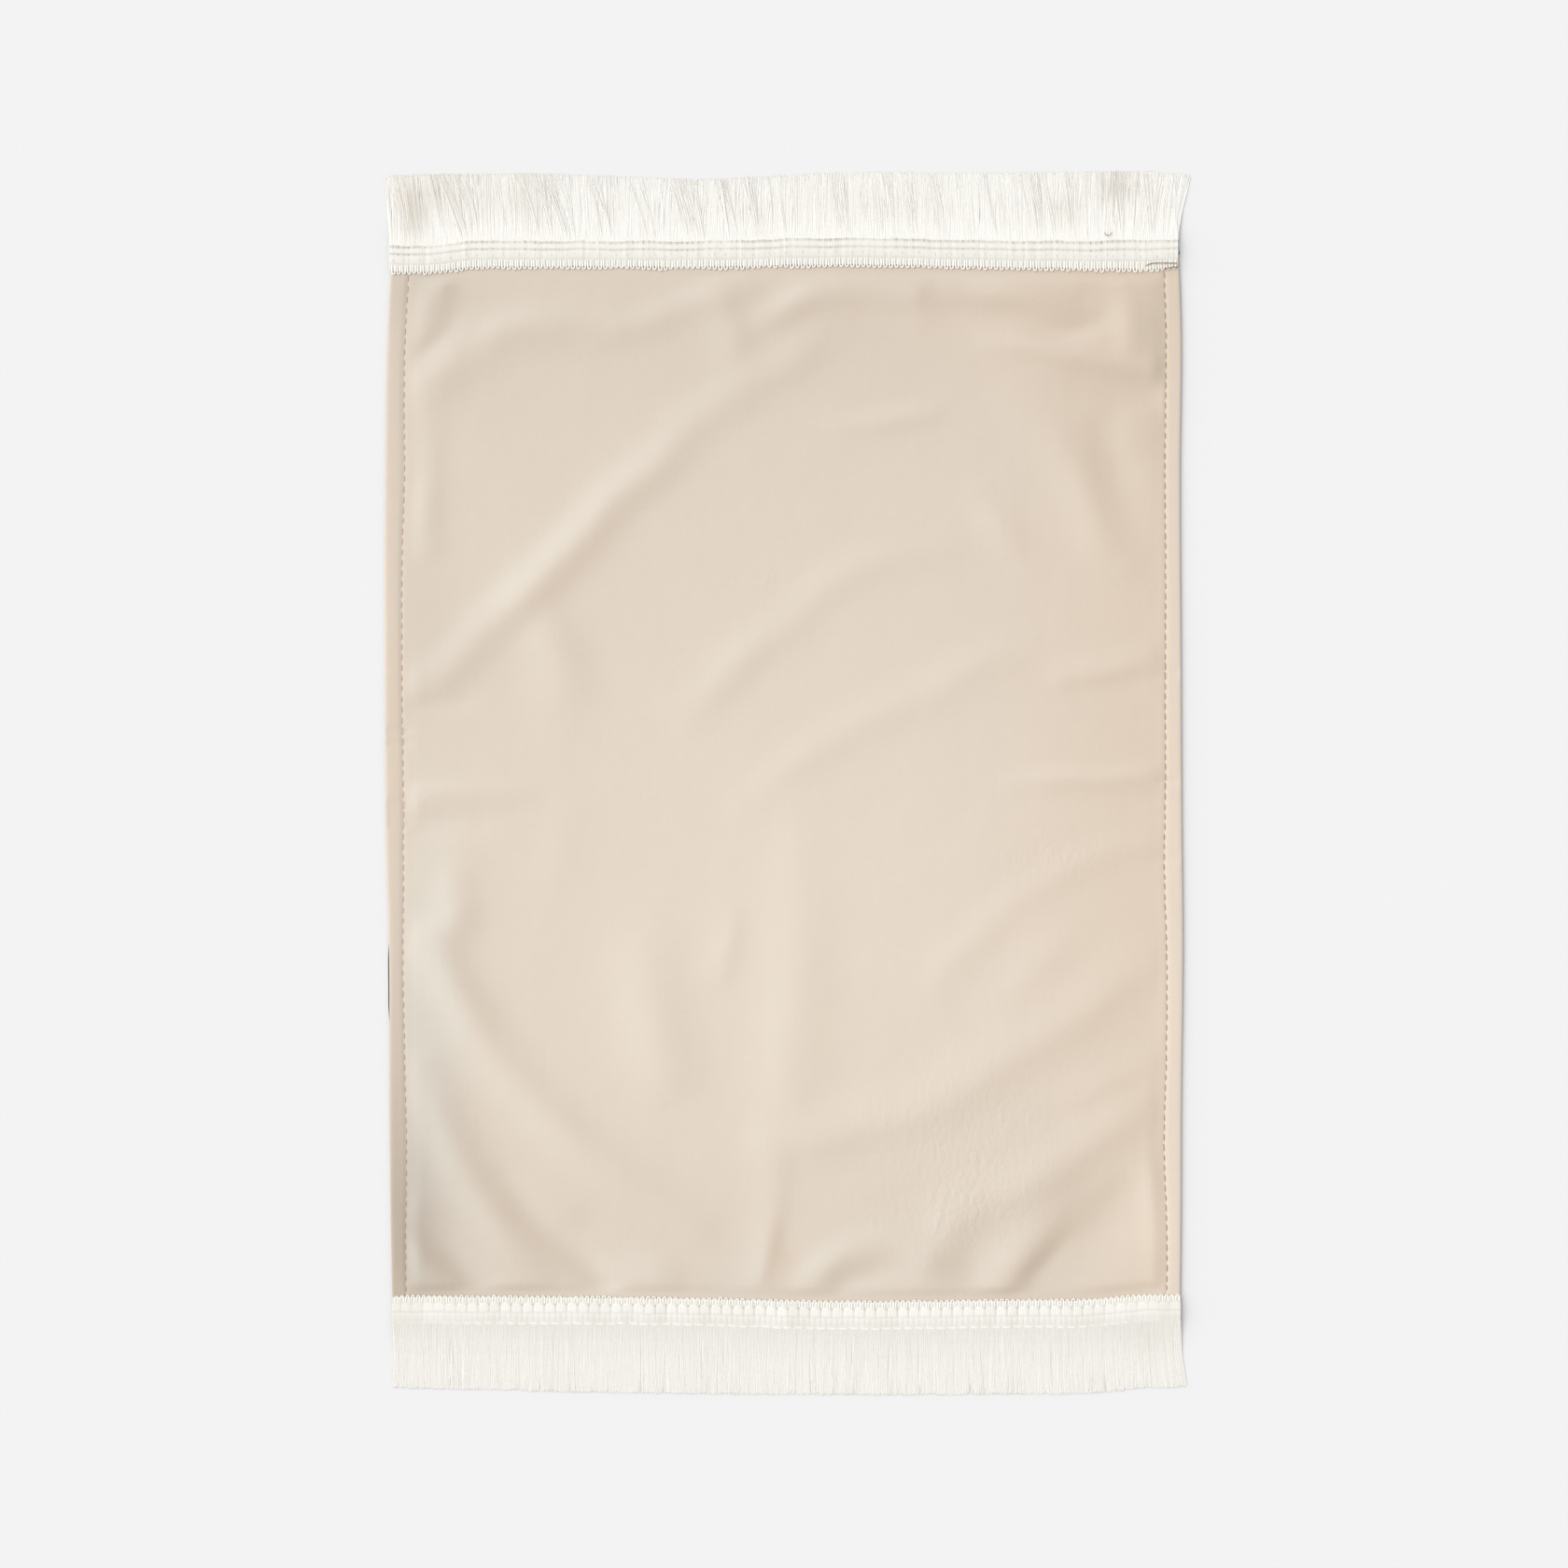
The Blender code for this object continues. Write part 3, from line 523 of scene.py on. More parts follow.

# %% [markdown]
# ## The folds
# The cloth was unfolded not long ago and lies in low soft folds: one long diagonal ridge on the
# left, arcs that fan out to the right hem, arcs down the left side, and short ones by the headings.
# A cloth simulation would put folds where it likes. Here they have to lie where the real ones do,
# so each has a crest, drawn over the photograph: a few points of X, Y and height. A trough
# has heights below 0. With it go the widths of its lit and its shaded flank. Heights and widths
# follow, rounded, a fit of such folds to the photograph's shading. Lower, broader swells carry the
# slow changes of light between them: soft oval patches, which the finishes below use as well.

# %% Fold table
Fold = namedtuple("Fold", "lit shade crest")
FOLDS = table_of(Fold, (
    # the long diagonal, its branch and the two arcs in the middle
    (12, 12, ((-299, 79, 1.5), (-278, 90, 2), (-244, 126, 2.5), (-216, 151, 3.5), (-187, 179, 3.5),
        (-162, 205, 3.5), (-136, 235, 3), (-105, 260, 2.5), (-72, 296, 1.5), (-30, 324, 1.5), (8, 347, 1.5),
        (39, 378, 0.5))),
    (16, 14, ((-184, 53, 0.5), (-180, 92, 2), (-191, 122, 2.5), (-202, 145, 1))),
    (11, 11, ((-80, 55, 0.5), (-62, 73, 1), (-31, 105, 1.5), (4, 131, 1), (39, 163, 1), (73, 181, 1),
        (130, 194, 0.5))),
    (11, 12, ((-31, -16, 0.5), (8, 15, 1), (46, 40, 1), (84, 60, 1), (123, 75, 1), (162, 99, 1),
        (199, 107, 0.5))),
    # the top right corner
    (14, 13, ((276, 183, 1), (261, 202, 2), (248, 237, 2.5), (229, 273, 2), (199, 301, 1), (176, 332, 0))),
    (10, 10, ((199, 179, 0.5), (180, 206, 1.5), (162, 233, 0.5))),
    (7, 7, ((16, 292, 0), (69, 294, 1), (111, 301, 1), (134, 305, 0))),
    (7, 7, ((153, 362, 0), (199, 358, 2.5), (237, 350, 3), (275, 343, 2.5), (306, 339, 2))),
    (7, 7, ((122, 395, 0), (161, 386, -1.5), (191, 379, -2), (222, 370, -2.5), (249, 374, -2),
        (267, 383, 0))),
    (9, 8, ((142, 405, 1), (184, 402, 3), (222, 395, 2), (245, 398, 0))),
    (9, 12, ((245, 327, -1), (275, 321, -2), (306, 318, -2.5))),
    (9, 9, ((284, 362, 2), (283, 380, 2.5), (279, 403, 1))),
    (8, 9, ((279, 275, 0.5), (284, 291, 0.5), (287, 312, 0))),
    (12, 12, ((276, 230, -0.5), (271, 259, -1.5), (263, 290, -1))),
    # the top left corner, and along the top heading
    (10, 13, ((-301, 326, 1), (-283, 332, 2), (-256, 352, 1), (-228, 371, 2.5), (-190, 376, 2.5),
        (-145, 375, 1))),
    (6, 7, ((-305, 350, -0.5), (-290, 356, -1.5), (-276, 371, -1), (-267, 385, -0.5))),
    (9, 8, ((-302, 370, 0), (-292, 384, 1), (-281, 405, 2))),
    (9, 10, ((-152, 371, 0.5), (-122, 374, 1.5), (-91, 387, 1.5), (-61, 398, 2), (-30, 403, 1))),
    (12, 11, ((-39, 340, 0.5), (-42, 362, 1.5), (-48, 385, 1.5), (-49, 406, 0.5))),
    (9, 9, ((-30, 372, 0.5), (-7, 384, 2), (17, 397, 3), (43, 402, 2.5), (73, 402, 2), (106, 400, 2.5))),
    (10, 8, ((111, 378, 0.5), (124, 393, 0.5), (130, 410, 0.5))),
    # short ones by the left hem
    (9, 8, ((-291, 195, 1), (-291, 229, 1.5), (-289, 259, 1), (-290, 306, 0.5))),
    (8, 6, ((-306, 64, -1), (-287, 65, -1), (-263, 67, -0.5))),
    (7, 9, ((-306, -10, 1.5), (-274, -8, 1.5), (-213, -7, 0.5))),
    (8, 8, ((-306, -32, -0.5), (-282, -33, -1), (-251, -34, -0.5))),
    # the lower left
    (13, 13, ((-73, -359, 1), (-107, -336, 1.5), (-146, -310, 2.5), (-184, -279, 3.5), (-214, -249, 3),
        (-239, -217, 3), (-256, -189, 4), (-273, -160, 4.5), (-287, -131, 2.5))),
    (12, 12, ((-281, -130, 1), (-268, -108, 2.5), (-269, -84, 2), (-269, -57, 0.5))),
    (12, 13, ((-184, -406, -0.5), (-209, -386, 2), (-231, -360, 3.5), (-251, -332, 3.5), (-268, -301, 4),
        (-282, -269, 3.5), (-295, -235, 1.5))),
    (10, 10, ((-148, -411, -3), (-167, -386, -3), (-192, -366, -3), (-214, -347, -2.5), (-229, -327, -1))),
    (8, 13, ((-251, -410, -3), (-272, -384, -3), (-289, -367, -1.5), (-304, -350, 1))),
    (8, 8, ((-278, -408, 1), (-290, -396, 2.5), (-307, -382, 3))),
    (12, 10, ((-75, -409, 0.5), (-102, -399, 2), (-137, -384, -0.5), (-160, -362, -1))),
    # tall soft ones in the middle
    (18, 18, ((-93, -265, 0), (-96, -237, 2), (-104, -198, 2.5), (-112, -160, 2), (-116, -114, 0.5))),
    (10, 6, ((-53, -172, 0), (-47, -145, 0.8), (-42, -114, 0.5), (-38, -95, 0))),
    (18, 19, ((2, -275, 1), (6, -237, 2), (10, -183, 2), (13, -122, 1.5), (12, -69, 1), (13, -19, 0.5))),
    # arcs that fan out to the right hem
    (10, 9, ((122, -191, 0), (129, -156, 0.7), (158, -126, 0.8), (195, -93, 0.7), (237, -68, 0.8),
        (275, -53, 0.8), (306, -50, 0.6))),
    (12, 13, ((180, -183, 0.5), (201, -157, 1), (227, -131, 0.5), (252, -111, 0))),
    (17, 13, ((-5, -296, 1), (31, -289, 2), (69, -279, 2), (111, -269, 2), (152, -246, 2), (195, -217, 2),
        (237, -193, 2), (276, -162, 1.5), (305, -140, 0.5))),
    # along the bottom heading, and the bottom right corner
    (3.4, 6, ((-5, -345, 0), (-8, -358, 0.5), (-12, -380, 0.8), (-17, -402, 0.8))),
    (13, 8, ((-18, -406, 0.5), (-12, -374, 1), (-8, -343, 1), (-5, -317, 0.8), (-9, -299, 0.5))),
    (15, 12, ((124, -388, 1.5), (138, -361, 2), (165, -341, 1.5), (200, -329, 2.5), (237, -304, 2),
        (275, -276, 2), (305, -258, 0.5))),
    (13, 9, ((182, -409, 2), (193, -392, 3), (211, -366, 1.5), (228, -337, 0), (248, -317, -0.5))),
    (15, 22, ((210, -409, -2.5), (236, -383, -3), (262, -354, -3), (285, -334, -2), (306, -326, 1))),
    (5, 6, ((194, -411, -0.5), (210, -394, -1.2), (226, -377, -0.8), (239, -364, 0))),
    (10, 10, ((153, -399, -1), (159, -378, -0.5), (165, -360, 0))),
    (9, 9, ((20, -409, 1.5), (37, -394, 2), (55, -382, 1.5), (86, -375, 1.5), (116, -387, 1.5))),
    (8, 7, ((49, -408, -1.5), (73, -402, -1.5), (97, -401, -0.5))),
    (8, 10, ((10, -389, -0.3), (0, -374, -0.5), (-2, -360, -0.3))),
    # short ones by the right hem, and a faint one at the left
    (6, 7, ((187, 2, 0.5), (222, 4, 1.5), (264, 4, 1.5), (306, 8, 1))),
    (10, 6, ((228, 87, 1), (263, 92, 1.5), (306, 102, 1))),
    (10, 7, ((206, -263, 0), (245, -254, 0.8), (279, -236, 0.8), (306, -228, 0.5))),
    (14, 13, ((-184, -111, 0), (-184, -69, 0.5), (-179, -23, 0.3))),
))

# %% Fold heights
STEPS_PER_SPAN = 8
FLANK_REACH = 3.3
BLEND = 1.5
LEAST_GAP = 0.5


def crest_line(fold):
    """X, Y and height along the crest, evenly spread between its own points."""
    order = np.arange(len(fold.crest))
    at = np.linspace(0, order[-1], order[-1] * STEPS_PER_SPAN + 1)
    return np.column_stack([smooth_curve(order, column, at) for column in zip(*fold.crest)])


def fold_height(fold, points):
    """The crest's height times a bell of the distance to the crest. The bell's width is the middle of
    the two flanks' widths plus half their difference times the sine of the angle to the crest."""
    crest = crest_line(fold)
    origin, run, rise = crest[:-1, :2], np.diff(crest[:, :2], axis=0), np.diff(crest[:, 2])
    offset = points[:, None, :] - origin
    share = np.clip((offset * run).sum(-1) / (run * run).sum(-1), 0.0, 1.0)
    gaps = np.linalg.norm(offset - share[..., None] * run, axis=-1)
    nearest = gaps.min(axis=1, keepdims=True)
    weight = np.exp((nearest - gaps) / BLEND)
    weight /= weight.sum(axis=1, keepdims=True)
    turn = run[:, 0] * offset[..., 1] - run[:, 1] * offset[..., 0]
    sine = turn / np.linalg.norm(run, axis=1) / np.maximum(gaps, LEAST_GAP)
    sine = (weight * np.clip(sine, -1, 1)).sum(axis=1)
    height = (weight * (crest[:-1, 2] + share * rise)).sum(axis=1)
    width = (fold.lit + fold.shade) / 2 + (fold.lit - fold.shade) / 2 * sine
    return height * bell(nearest[:, 0], width)


def all_folds(points):
    """The sum of all folds, each worked out only near its own crest."""
    total = np.zeros(len(points))
    for fold in FOLDS:
        crest = crest_line(fold)[:, :2]
        reach = FLANK_REACH * max(fold.lit, fold.shade)
        near = ((points > crest.min(axis=0) - reach) & (points < crest.max(axis=0) + reach)).all(axis=1)
        total[near] += fold_height(fold, points[near])
    return total


# %% Swells, and the patches that carry finishes too
Patch = namedtuple("Patch", "x y reach_x reach_y amount")
SWELLS = table_of(Patch, (
    (0, -40, 190, 250, 0.9), (-235, -372, 75, 60, 3.0), (245, -362, 78, 62, 3.0), (245, 352, 75, 58, 2.8),
    (-285, 362, 32, 30, 1.0), (60, -400, 70, 28, 1.0),
))


def patches(table, points):
    """The sum of oval bells, each with its own amount."""
    total = np.zeros(len(points))
    for patch in table:
        across = (points[:, 0] - patch.x) / patch.reach_x
        along = (points[:, 1] - patch.y) / patch.reach_y
        total += patch.amount * bell(np.hypot(across, along), 1.0)
    return total


# %% [markdown]
# ## The hems
# Each long side is turned under and topstitched 11 to 15 mm in, which leaves a soft tube along the
# edge and a narrow valley under the stitches. One profile across the edge gives both. It is drawn
# wider or narrower as the seam wanders, and a few puckers cross it, where the sewing has drawn it
# up. A hem is part of its cloth, so the profile is simply added to the one grid.

# %% Hem profile
# the width that the profile is drawn for, and each side's own at each Y
HEM_WIDTH = 13.7
HemLine = namedtuple("HemLine", "y left right")
HEM_LINES = table_of(HemLine, (
    (-445, 11.2, 12.0), (-378, 11.6, 11.2), (-300, 13.2, 14.0), (-225, 12.2, 13.0), (-149, 11.0, 13.3),
    (-72, 13.3, 14.8), (0, 14.5, 13.4), (80, 13.6, 13.1), (195, 14.1, 12.2), (250, 15.5, 12.4),
    (320, 14.5, 12.6), (445, 15.0, 12.6),
))
Inset = namedtuple("Inset", "inset height")
HEM_PROFILE = table_of(Inset, (
    (0.0, 0.95), (1.0, 1.4), (2.8, 1.6), (6.0, 1.7), (9.0, 1.7), (11.5, 1.55), (13.0, 1.2),
    (13.7, 1.05), (14.4, 1.2), (16.2, 1.45), (19.0, 1.5),
))
HEM_COLUMNS = np.array(
    (0, 0.5, 1.2, 2.2, 3.4, 5.0, 6.6, 8.2, 9.8, 11.0, 12.0, 12.8, 13.3, 13.7, 14.1, 14.7, 15.6, 17.0, 19.0)
)
Pucker = namedtuple("Pucker", "side y depth")
PUCKERS = table_of(Pucker, (
    ("left", 43.5, 0.8), ("left", 33.5, 0.8), ("left", -16.0, 0.7), ("left", -23.5, 0.7),
    ("left", -32.0, 0.7), ("right", 91.0, 0.5), ("right", 3.0, 0.5), ("right", -60.0, 0.4),
))
PUCKER_WIDTH = 2.2
PUCKER_START, PUCKER_END, PUCKER_FADE = 3, 24, 8


def hem_scale(side, y):
    """The hem's width at each Y as a share of the profile's own."""
    return line_at(HEM_LINES, "y", side, y) / HEM_WIDTH


def hem_height(points):
    """The hem's profile by the distance from the near edge, less the puckers across it. The distance
    is counted in the profile's own width, so that the valley follows the seam."""
    x, y = points.T
    from_left = (x - line_at(SIDES, "y", "left", y)) / hem_scale("left", y)
    from_right = (line_at(SIDES, "y", "right", y) - x) / hem_scale("right", y)
    inset = np.minimum(from_left, from_right)
    height = line_at(HEM_PROFILE, "inset", "height", inset) - CLOTH_THICKNESS
    for pucker in PUCKERS:
        distance = from_left if pucker.side == "left" else from_right
        on_hem = ease(distance / PUCKER_START) * ease((PUCKER_END - distance) / PUCKER_FADE)
        height -= pucker.depth * bell(y - pucker.y, PUCKER_WIDTH) * on_hem
    return height, inset


# %% [markdown]
# ## The beige cloth
# The sheet is a grid whose columns crowd together over the hems. Its upper face is the flat cloth
# plus hem, folds and swells, pressed flat under the headings. Its lower face follows 0.8 mm below
# and never dips into the backing, and over the hems it lies flat, because a hem is two layers.

# %% Cloth grid
CLOTH_ROWS = 268
FIELD_COLUMNS = 142
SHEET = 0.8
PRESSED_LENGTH = 9.0
END_INSET = 3.0


def sheet_places(rows, columns_in, field_columns, end_inset):
    """X and Y of a sheet's grid. Its rows run from under one heading to under the other. In each row
    the columns keep set distances in from both edges, drawn wider or narrower with the hem, and even
    steps between them."""
    along = np.linspace(0, 1, rows + 1)[:, None]
    across = np.linspace(0, 1, field_columns + 1)[1:-1]
    guide = SIDES[0].y + (SIDES[-1].y - SIDES[0].y) * along
    left = line_at(SIDES, "y", "left", guide) + columns_in * hem_scale("left", guide)
    right = line_at(SIDES, "y", "right", guide) - columns_in[::-1] * hem_scale("right", guide)
    x = np.hstack((left, left[:, -1:] + (right[:, :1] - left[:, -1:]) * across, right))
    low = line_at(BOTTOM_STATIONS, "x", "outer", x) + end_inset
    high = line_at(TOP_STATIONS, "x", "outer", x) - end_inset
    return x, low + (high - low) * along


def off_headings(points):
    """0 under the headings, where the seam presses the cloth, rising to 1 a little way off them."""
    below_top = line_at(TOP_STATIONS, "x", "inner", points[:, 0]) - points[:, 1]
    above_bottom = points[:, 1] - line_at(BOTTOM_STATIONS, "x", "inner", points[:, 0])
    return ease(np.minimum(below_top, above_bottom) / PRESSED_LENGTH)


# %% Where the cloth is warmer, greener or crinkled, and its painted light and shade
# hues of the cloth, but the patch at (0, -392) is painted shade on a small pleat's shaded side
WARM_PATCHES = table_of(Patch, (
    (310, 60, 75, 500, 0.9), (220, 400, 130, 60, 0.6), (-293, -190, 22, 100, -1.0),
    (-20, -412, 90, 22, -0.3), (0, -392, 9, 18, 0.8), (-320, 60, 8, 240, 0.6), (-318, -320, 8, 150, 0.9),
    (324, 0, 8, 700, -0.60),
))
CRINKLE_PATCHES = table_of(Patch, (
    (150, -290, 50, 42, 0.5), (145, -352, 40, 22, 0.5), (224, -57, 28, 12, 0.5), (-223, 371, 7, 3, 0.6),
    (-11, 169, 12, 3, 0.5), (-110, -10, 6, 3, 0.5), (-298, -11, 8, 4, 0.6),
))
BASE_CRINKLE = 0.06
BASE_LEVEL = 0.984
# painted light and shade: lighter below the middle and down the right edge, darker towards the ends and the
# lower left
PAINTED_LIGHT_PATCHES = table_of(Patch, (
    (15, -140, 185, 165, 0.065), (0, 400, 500, 85, -0.045), (-300, -375, 42, 80, -0.13),
    (-303, -350, 10, 60, -0.10), (-318, -320, 5.5, 170, -0.11), (-296, -265, 24, 110, -0.06),
    (-300, 405, 25, 18, -0.07), (200, -310, 110, 60, -0.03), (-305, 120, 35, 60, -0.05),
    (0, -400, 260, 50, -0.03), (300, -360, 30, 60, 0.06), (324, 0, 10, 600, 0.05),
    (314, -240, 9, 150, 0.045), (318, 150, 9, 200, 0.02), (298, -375, 10, 25, 0.04),
    (-316, 300, 9, 90, -0.03), (-318, 120, 9, 45, 0.03), (-310, -300, 5, 60, 0.03),
))


def away_from_light(x, y, z):
    """The surface's slope along the level direction that the light comes from: above 0 in shade."""
    toward = LIGHT_FROM.to_2d().normalized()
    slope_x = np.gradient(z, axis=1) / np.gradient(x, axis=1)
    slope_y = np.gradient(z, axis=0) / np.gradient(y, axis=0)
    return slope_x * toward.x + slope_y * toward.y


# %% [markdown]
# A fold's shaded side also looks a little warmer than its lit one, because the beige cloth beside it
# lights it. So the slope away from the light is added to the warmth.

# %% Make the cloth
FOLD_SHARE = 0.92
FOLD_SHADE_TINT = 4.0
GREENEST, WARMEST = -0.9, 1.3
cloth_x, cloth_y = sheet_places(CLOTH_ROWS, HEM_COLUMNS, FIELD_COLUMNS, END_INSET)
cloth_points = np.column_stack((cloth_x.ravel(), cloth_y.ravel()))
hem_relief, hem_inset = hem_height(cloth_points)
off_hem = ease((hem_inset - HEM_WIDTH) / HEM_WIDTH)
free = off_headings(cloth_points)
waves = FOLD_SHARE * all_folds(cloth_points) + patches(SWELLS, cloth_points)
relief = hem_relief + off_hem * free * waves
relief = np.where(relief > 0, relief * free, relief)
face_z = (CLOTH_UNDER + CLOTH_THICKNESS + relief).reshape(cloth_x.shape)
on_hem = (hem_inset < HEM_WIDTH + 1).reshape(cloth_x.shape)
under_z = np.where(on_hem, CLOTH_UNDER, np.maximum(CLOTH_UNDER, face_z - SHEET))
# painted shade: flanks that slope away from the light are tinted pinker, and so darker
painted_fold_shade = FOLD_SHADE_TINT * off_hem * away_from_light(cloth_x, cloth_y, face_z).ravel()
cloth = closed_sheet(
    "beige_cloth",
    np.dstack((cloth_x, cloth_y, face_z)),
    np.dstack((cloth_x, cloth_y, under_z)),
    SATEEN,
    warmth=np.clip(patches(WARM_PATCHES, cloth_points) + painted_fold_shade, GREENEST, WARMEST),
    crinkle=BASE_CRINKLE + patches(CRINKLE_PATCHES, cloth_points),
    level=BASE_LEVEL + patches(PAINTED_LIGHT_PATCHES, cloth_points),
)
print("folds stand up to", round(float(relief.max()), 1), "mm over the flat cloth")

# %% [markdown]
# ## The backing cloth
# Only a dark sliver of the backing shows, down the left edge and at the top right, where it has
# slipped out by a millimetre. It is a plain flat sheet with a thin edge, laid on the floor.

# %% Make the backing
Slip = namedtuple("Slip", "side y reach out")
SLIPS = table_of(Slip, (
    ("left", -162, 34, 2.1),
    ("right", 435, 5, 2.1),
))
BACKING_INSET = 1.0
BACKING_ROWS, BACKING_FIELD = 120, 40
BACKING_COLUMNS = np.array((0, 0.4, 1.2, 3.0))
BACKING_UNDER, BACKING_EDGE = 0.1, 0.55
EDGE_SHARE = 1 / 120


def slid_out(side, y):
    """How far the backing's edge lies past the cloth's at each Y: the inset less, where it slipped."""
    slips = (slip for slip in SLIPS if slip.side == side)
    return sum(slip.out * ease(1.5 - np.abs(y - slip.y) / slip.reach) for slip in slips) - BACKING_INSET


backing_x, backing_y = sheet_places(BACKING_ROWS, BACKING_COLUMNS, BACKING_FIELD, END_INSET + BACKING_INSET)
from_middle = np.linspace(-1, 1, backing_x.shape[1])
moved = np.where(from_middle < 0, -slid_out("left", backing_y), slid_out("right", backing_y))
backing_x = backing_x + moved * np.abs(from_middle)
backing_rise = (BACKING_TOP - BACKING_EDGE) * ease((1 - np.abs(from_middle)) / EDGE_SHARE)
backing_top = np.broadcast_to(BACKING_EDGE + backing_rise, backing_x.shape)
backing_sheet = closed_sheet(
    "charcoal_backing",
    np.dstack((backing_x, backing_y, backing_top)),
    np.dstack((backing_x, backing_y, np.full(backing_x.shape, BACKING_UNDER))),
    BACKING,
)

# %% [markdown]
# ## The topstitching
# The stitches sit in the valley of the hem, a little over 8 mm apart. Seen close, each is a short
# thread that comes up through one needle hole and dives into the next. A stitch is a path in the
# form of a low arch whose ends lie inside the cloth, and all stitches of one side are one swept
# mesh. The left seam is paler, so its thread has more shade.

# %% Make the stitches
Seam = namedtuple("Seam", "name side pitch radius tone shade")
SEAMS = table_of(Seam, (
    ("topstitch_left", "left", 8.6, 0.22, 0.0, 0.45),
    ("topstitch_right", "right", 8.2, 0.26, 0.45, 0.05),
))
STITCH_SHARE = 0.74
STITCH_SEED = 5
UNDER_HEADING = 4.0
VALLEY_Z = CLOTH_UNDER + 1.05
ARCH_RISE, ARCH_DIVE = 0.42, 0.95


def stitch_paths(seam, rng):
    """Along Y: even steps of the seam. Across: the hem's own line. Up: over the valley by the arch's
    rise less its dive times t to the power 4, where t runs from -1 to 1 along the stitch."""
    low = line_at(BOTTOM_STATIONS, "x", "inner", getattr(SIDES[0], seam.side)) - UNDER_HEADING
    high = line_at(TOP_STATIONS, "x", "inner", getattr(SIDES[-1], seam.side)) + UNDER_HEADING
    middles = np.arange(low, high, seam.pitch)[:, None]
    middles = middles + rng.normal(0, 0.25, middles.shape)
    lengths = seam.pitch * STITCH_SHARE * rng.uniform(0.85, 1.1, middles.shape)
    t = np.linspace(-1, 1, 9)
    y = middles + t * lengths / 2
    edge = line_at(SIDES, "y", seam.side, y)
    inward = line_at(HEM_LINES, "y", seam.side, y) + rng.normal(0, 0.12, middles.shape) + 0.15 * t
    x = edge + inward if seam.side == "left" else edge - inward
    z = VALLEY_Z + ARCH_RISE - ARCH_DIVE * t ** 4
    return np.stack(np.broadcast_arrays(x, y, z), axis=-1)


seam_pieces = []
for seam in SEAMS:
    rng = np.random.default_rng(STITCH_SEED + len(seam_pieces))
    paths = stitch_paths(seam, rng)
    tones = np.clip(seam.tone + rng.uniform(-0.1, 0.4, (len(paths), 1, 1)), 0, 1)
    rings = round_rings(paths, seam.radius, 6)
    seam_pieces.append(swept(seam.name, rings, STITCH_THREAD, tone=tones, shade=seam.shade))
    print(seam.name, "has", len(paths), "stitches")

# %% [markdown]
# ## The headings
# A heading is a woven tape, 25 mm wide. The top one lies with its flat side up: two rows of small
# dark ticks and a fainter row of spots run along it. The bottom one shows its ribbed side: blocks of
# five threads, 9 mm apart, with a round bead between each two where the fringe starts. Both run on
# thinly under their loops. A tape is one profile carried along the rug, so its height is a function
# of two numbers: the share of the way across it, and X. Its marks are shade, by the same two.

# %% A tape's surface
SINES = 5


def wander(at, seed, length, amount):
    """Slow unevenness: sines of random phase, their lengths spread around the given one."""
    rng = np.random.default_rng(seed)
    waves = length * rng.uniform(0.4, 1.6, SINES)
    phases = rng.uniform(0, TURN, SINES)
    return amount * sum(np.sin(TURN * at / w + p) for w, p in zip(waves, phases)) / np.sqrt(SINES)


def across_tape(stations, x, share, seed):
    """Y at a share of the way from the outer line to the inner one, with a slow unevenness."""
    outer = line_at(stations, "x", "outer", x)
    inner = line_at(stations, "x", "inner", x)
    return outer + (inner - outer) * share + wander(x, seed, 45.0, 0.25)


def tape(name, stations, seed, x, shares, height, **values):
    """A heading: for each X a closed section, over the face by height and back along the flat
    underside. The ends of the face give the underside its values."""
    turned = slice(None) if stations[0].outer > 0 else slice(None, None, -1)
    x = x[:, None]
    y = across_tape(stations, x, shares[turned], seed)
    face = np.stack(np.broadcast_arrays(x, y, HEADING_UNDER + height[:, turned]), axis=-1)
    under = face[:, (-1, 0)].copy()
    under[..., 2] = HEADING_UNDER
    for label, numbers in values.items():
        numbers = numbers[:, turned]
        values[label] = np.concatenate((numbers, numbers[:, (-1, 0)]), axis=1)[None]
    return swept(name, np.concatenate((face, under), axis=1)[None], HEADING_YARN, **values)


# %% Beats along the tapes
Beat = namedtuple("Beat", "x count")
BLOCKS = table_of(Beat, (
    (-324, -36.2), (-40, -4.8), (60, 6.3), (328, 36.4),
))
LOOPS_BELOW = table_of(Beat, (
    (-324, -71.7), (-240, -52.7), (60, 13.7), (328, 73.4),
))
LOOPS_ABOVE = table_of(Beat, (
    (-326, -72.6), (-240, -52.5), (60, 14.9), (326, 73.6),
))


def off_beat(count):
    """Signed distance to the nearest whole count: 0 in the middle of a beat, a half at its ends."""
    return count - np.round(count)


# %% The flat heading
Across = namedtuple("Across", "share height")
FLAT_FACE = table_of(Across, (
    (0.00, 0.10), (0.02, 0.25), (0.05, 0.55), (0.10, 0.85), (0.14, 1.15), (0.20, 1.45), (0.29, 1.45),
    (0.325, 1.25), (0.345, 1.05), (0.365, 1.25), (0.44, 1.35), (0.52, 1.20), (0.58, 1.00), (0.64, 0.75),
    (0.70, 0.60), (0.91, 0.50),
))
Ticks = namedtuple("Ticks", "share width depth")
TICK_ROWS = table_of(Ticks, ((0.085, 0.045, 1.10), (0.345, 0.030, 0.80)))
SPOT_ROW, SPOT_WIDTH, SPOT_DEPTH = 0.53, 0.035, 0.50
THIN_FROM, THIN_FADE, THIN_SHADE = 0.58, 0.08, 0.22
FLAT_STEP = 0.55
FLAT_TONE = 0.60
flat_x = np.arange(TOP_STATIONS[0].x, TOP_STATIONS[-1].x, FLAT_STEP)
flat_share = np.array((
    0, .01, .025, .04, .055, .075, .09, .105, .12, .14, .17, .21, .25, .29, .31, .325, .345,
    .365, .39, .42, .46, .50, .54, .58, .62, .66, .69, .72, .76, .80, .86, .91,
))
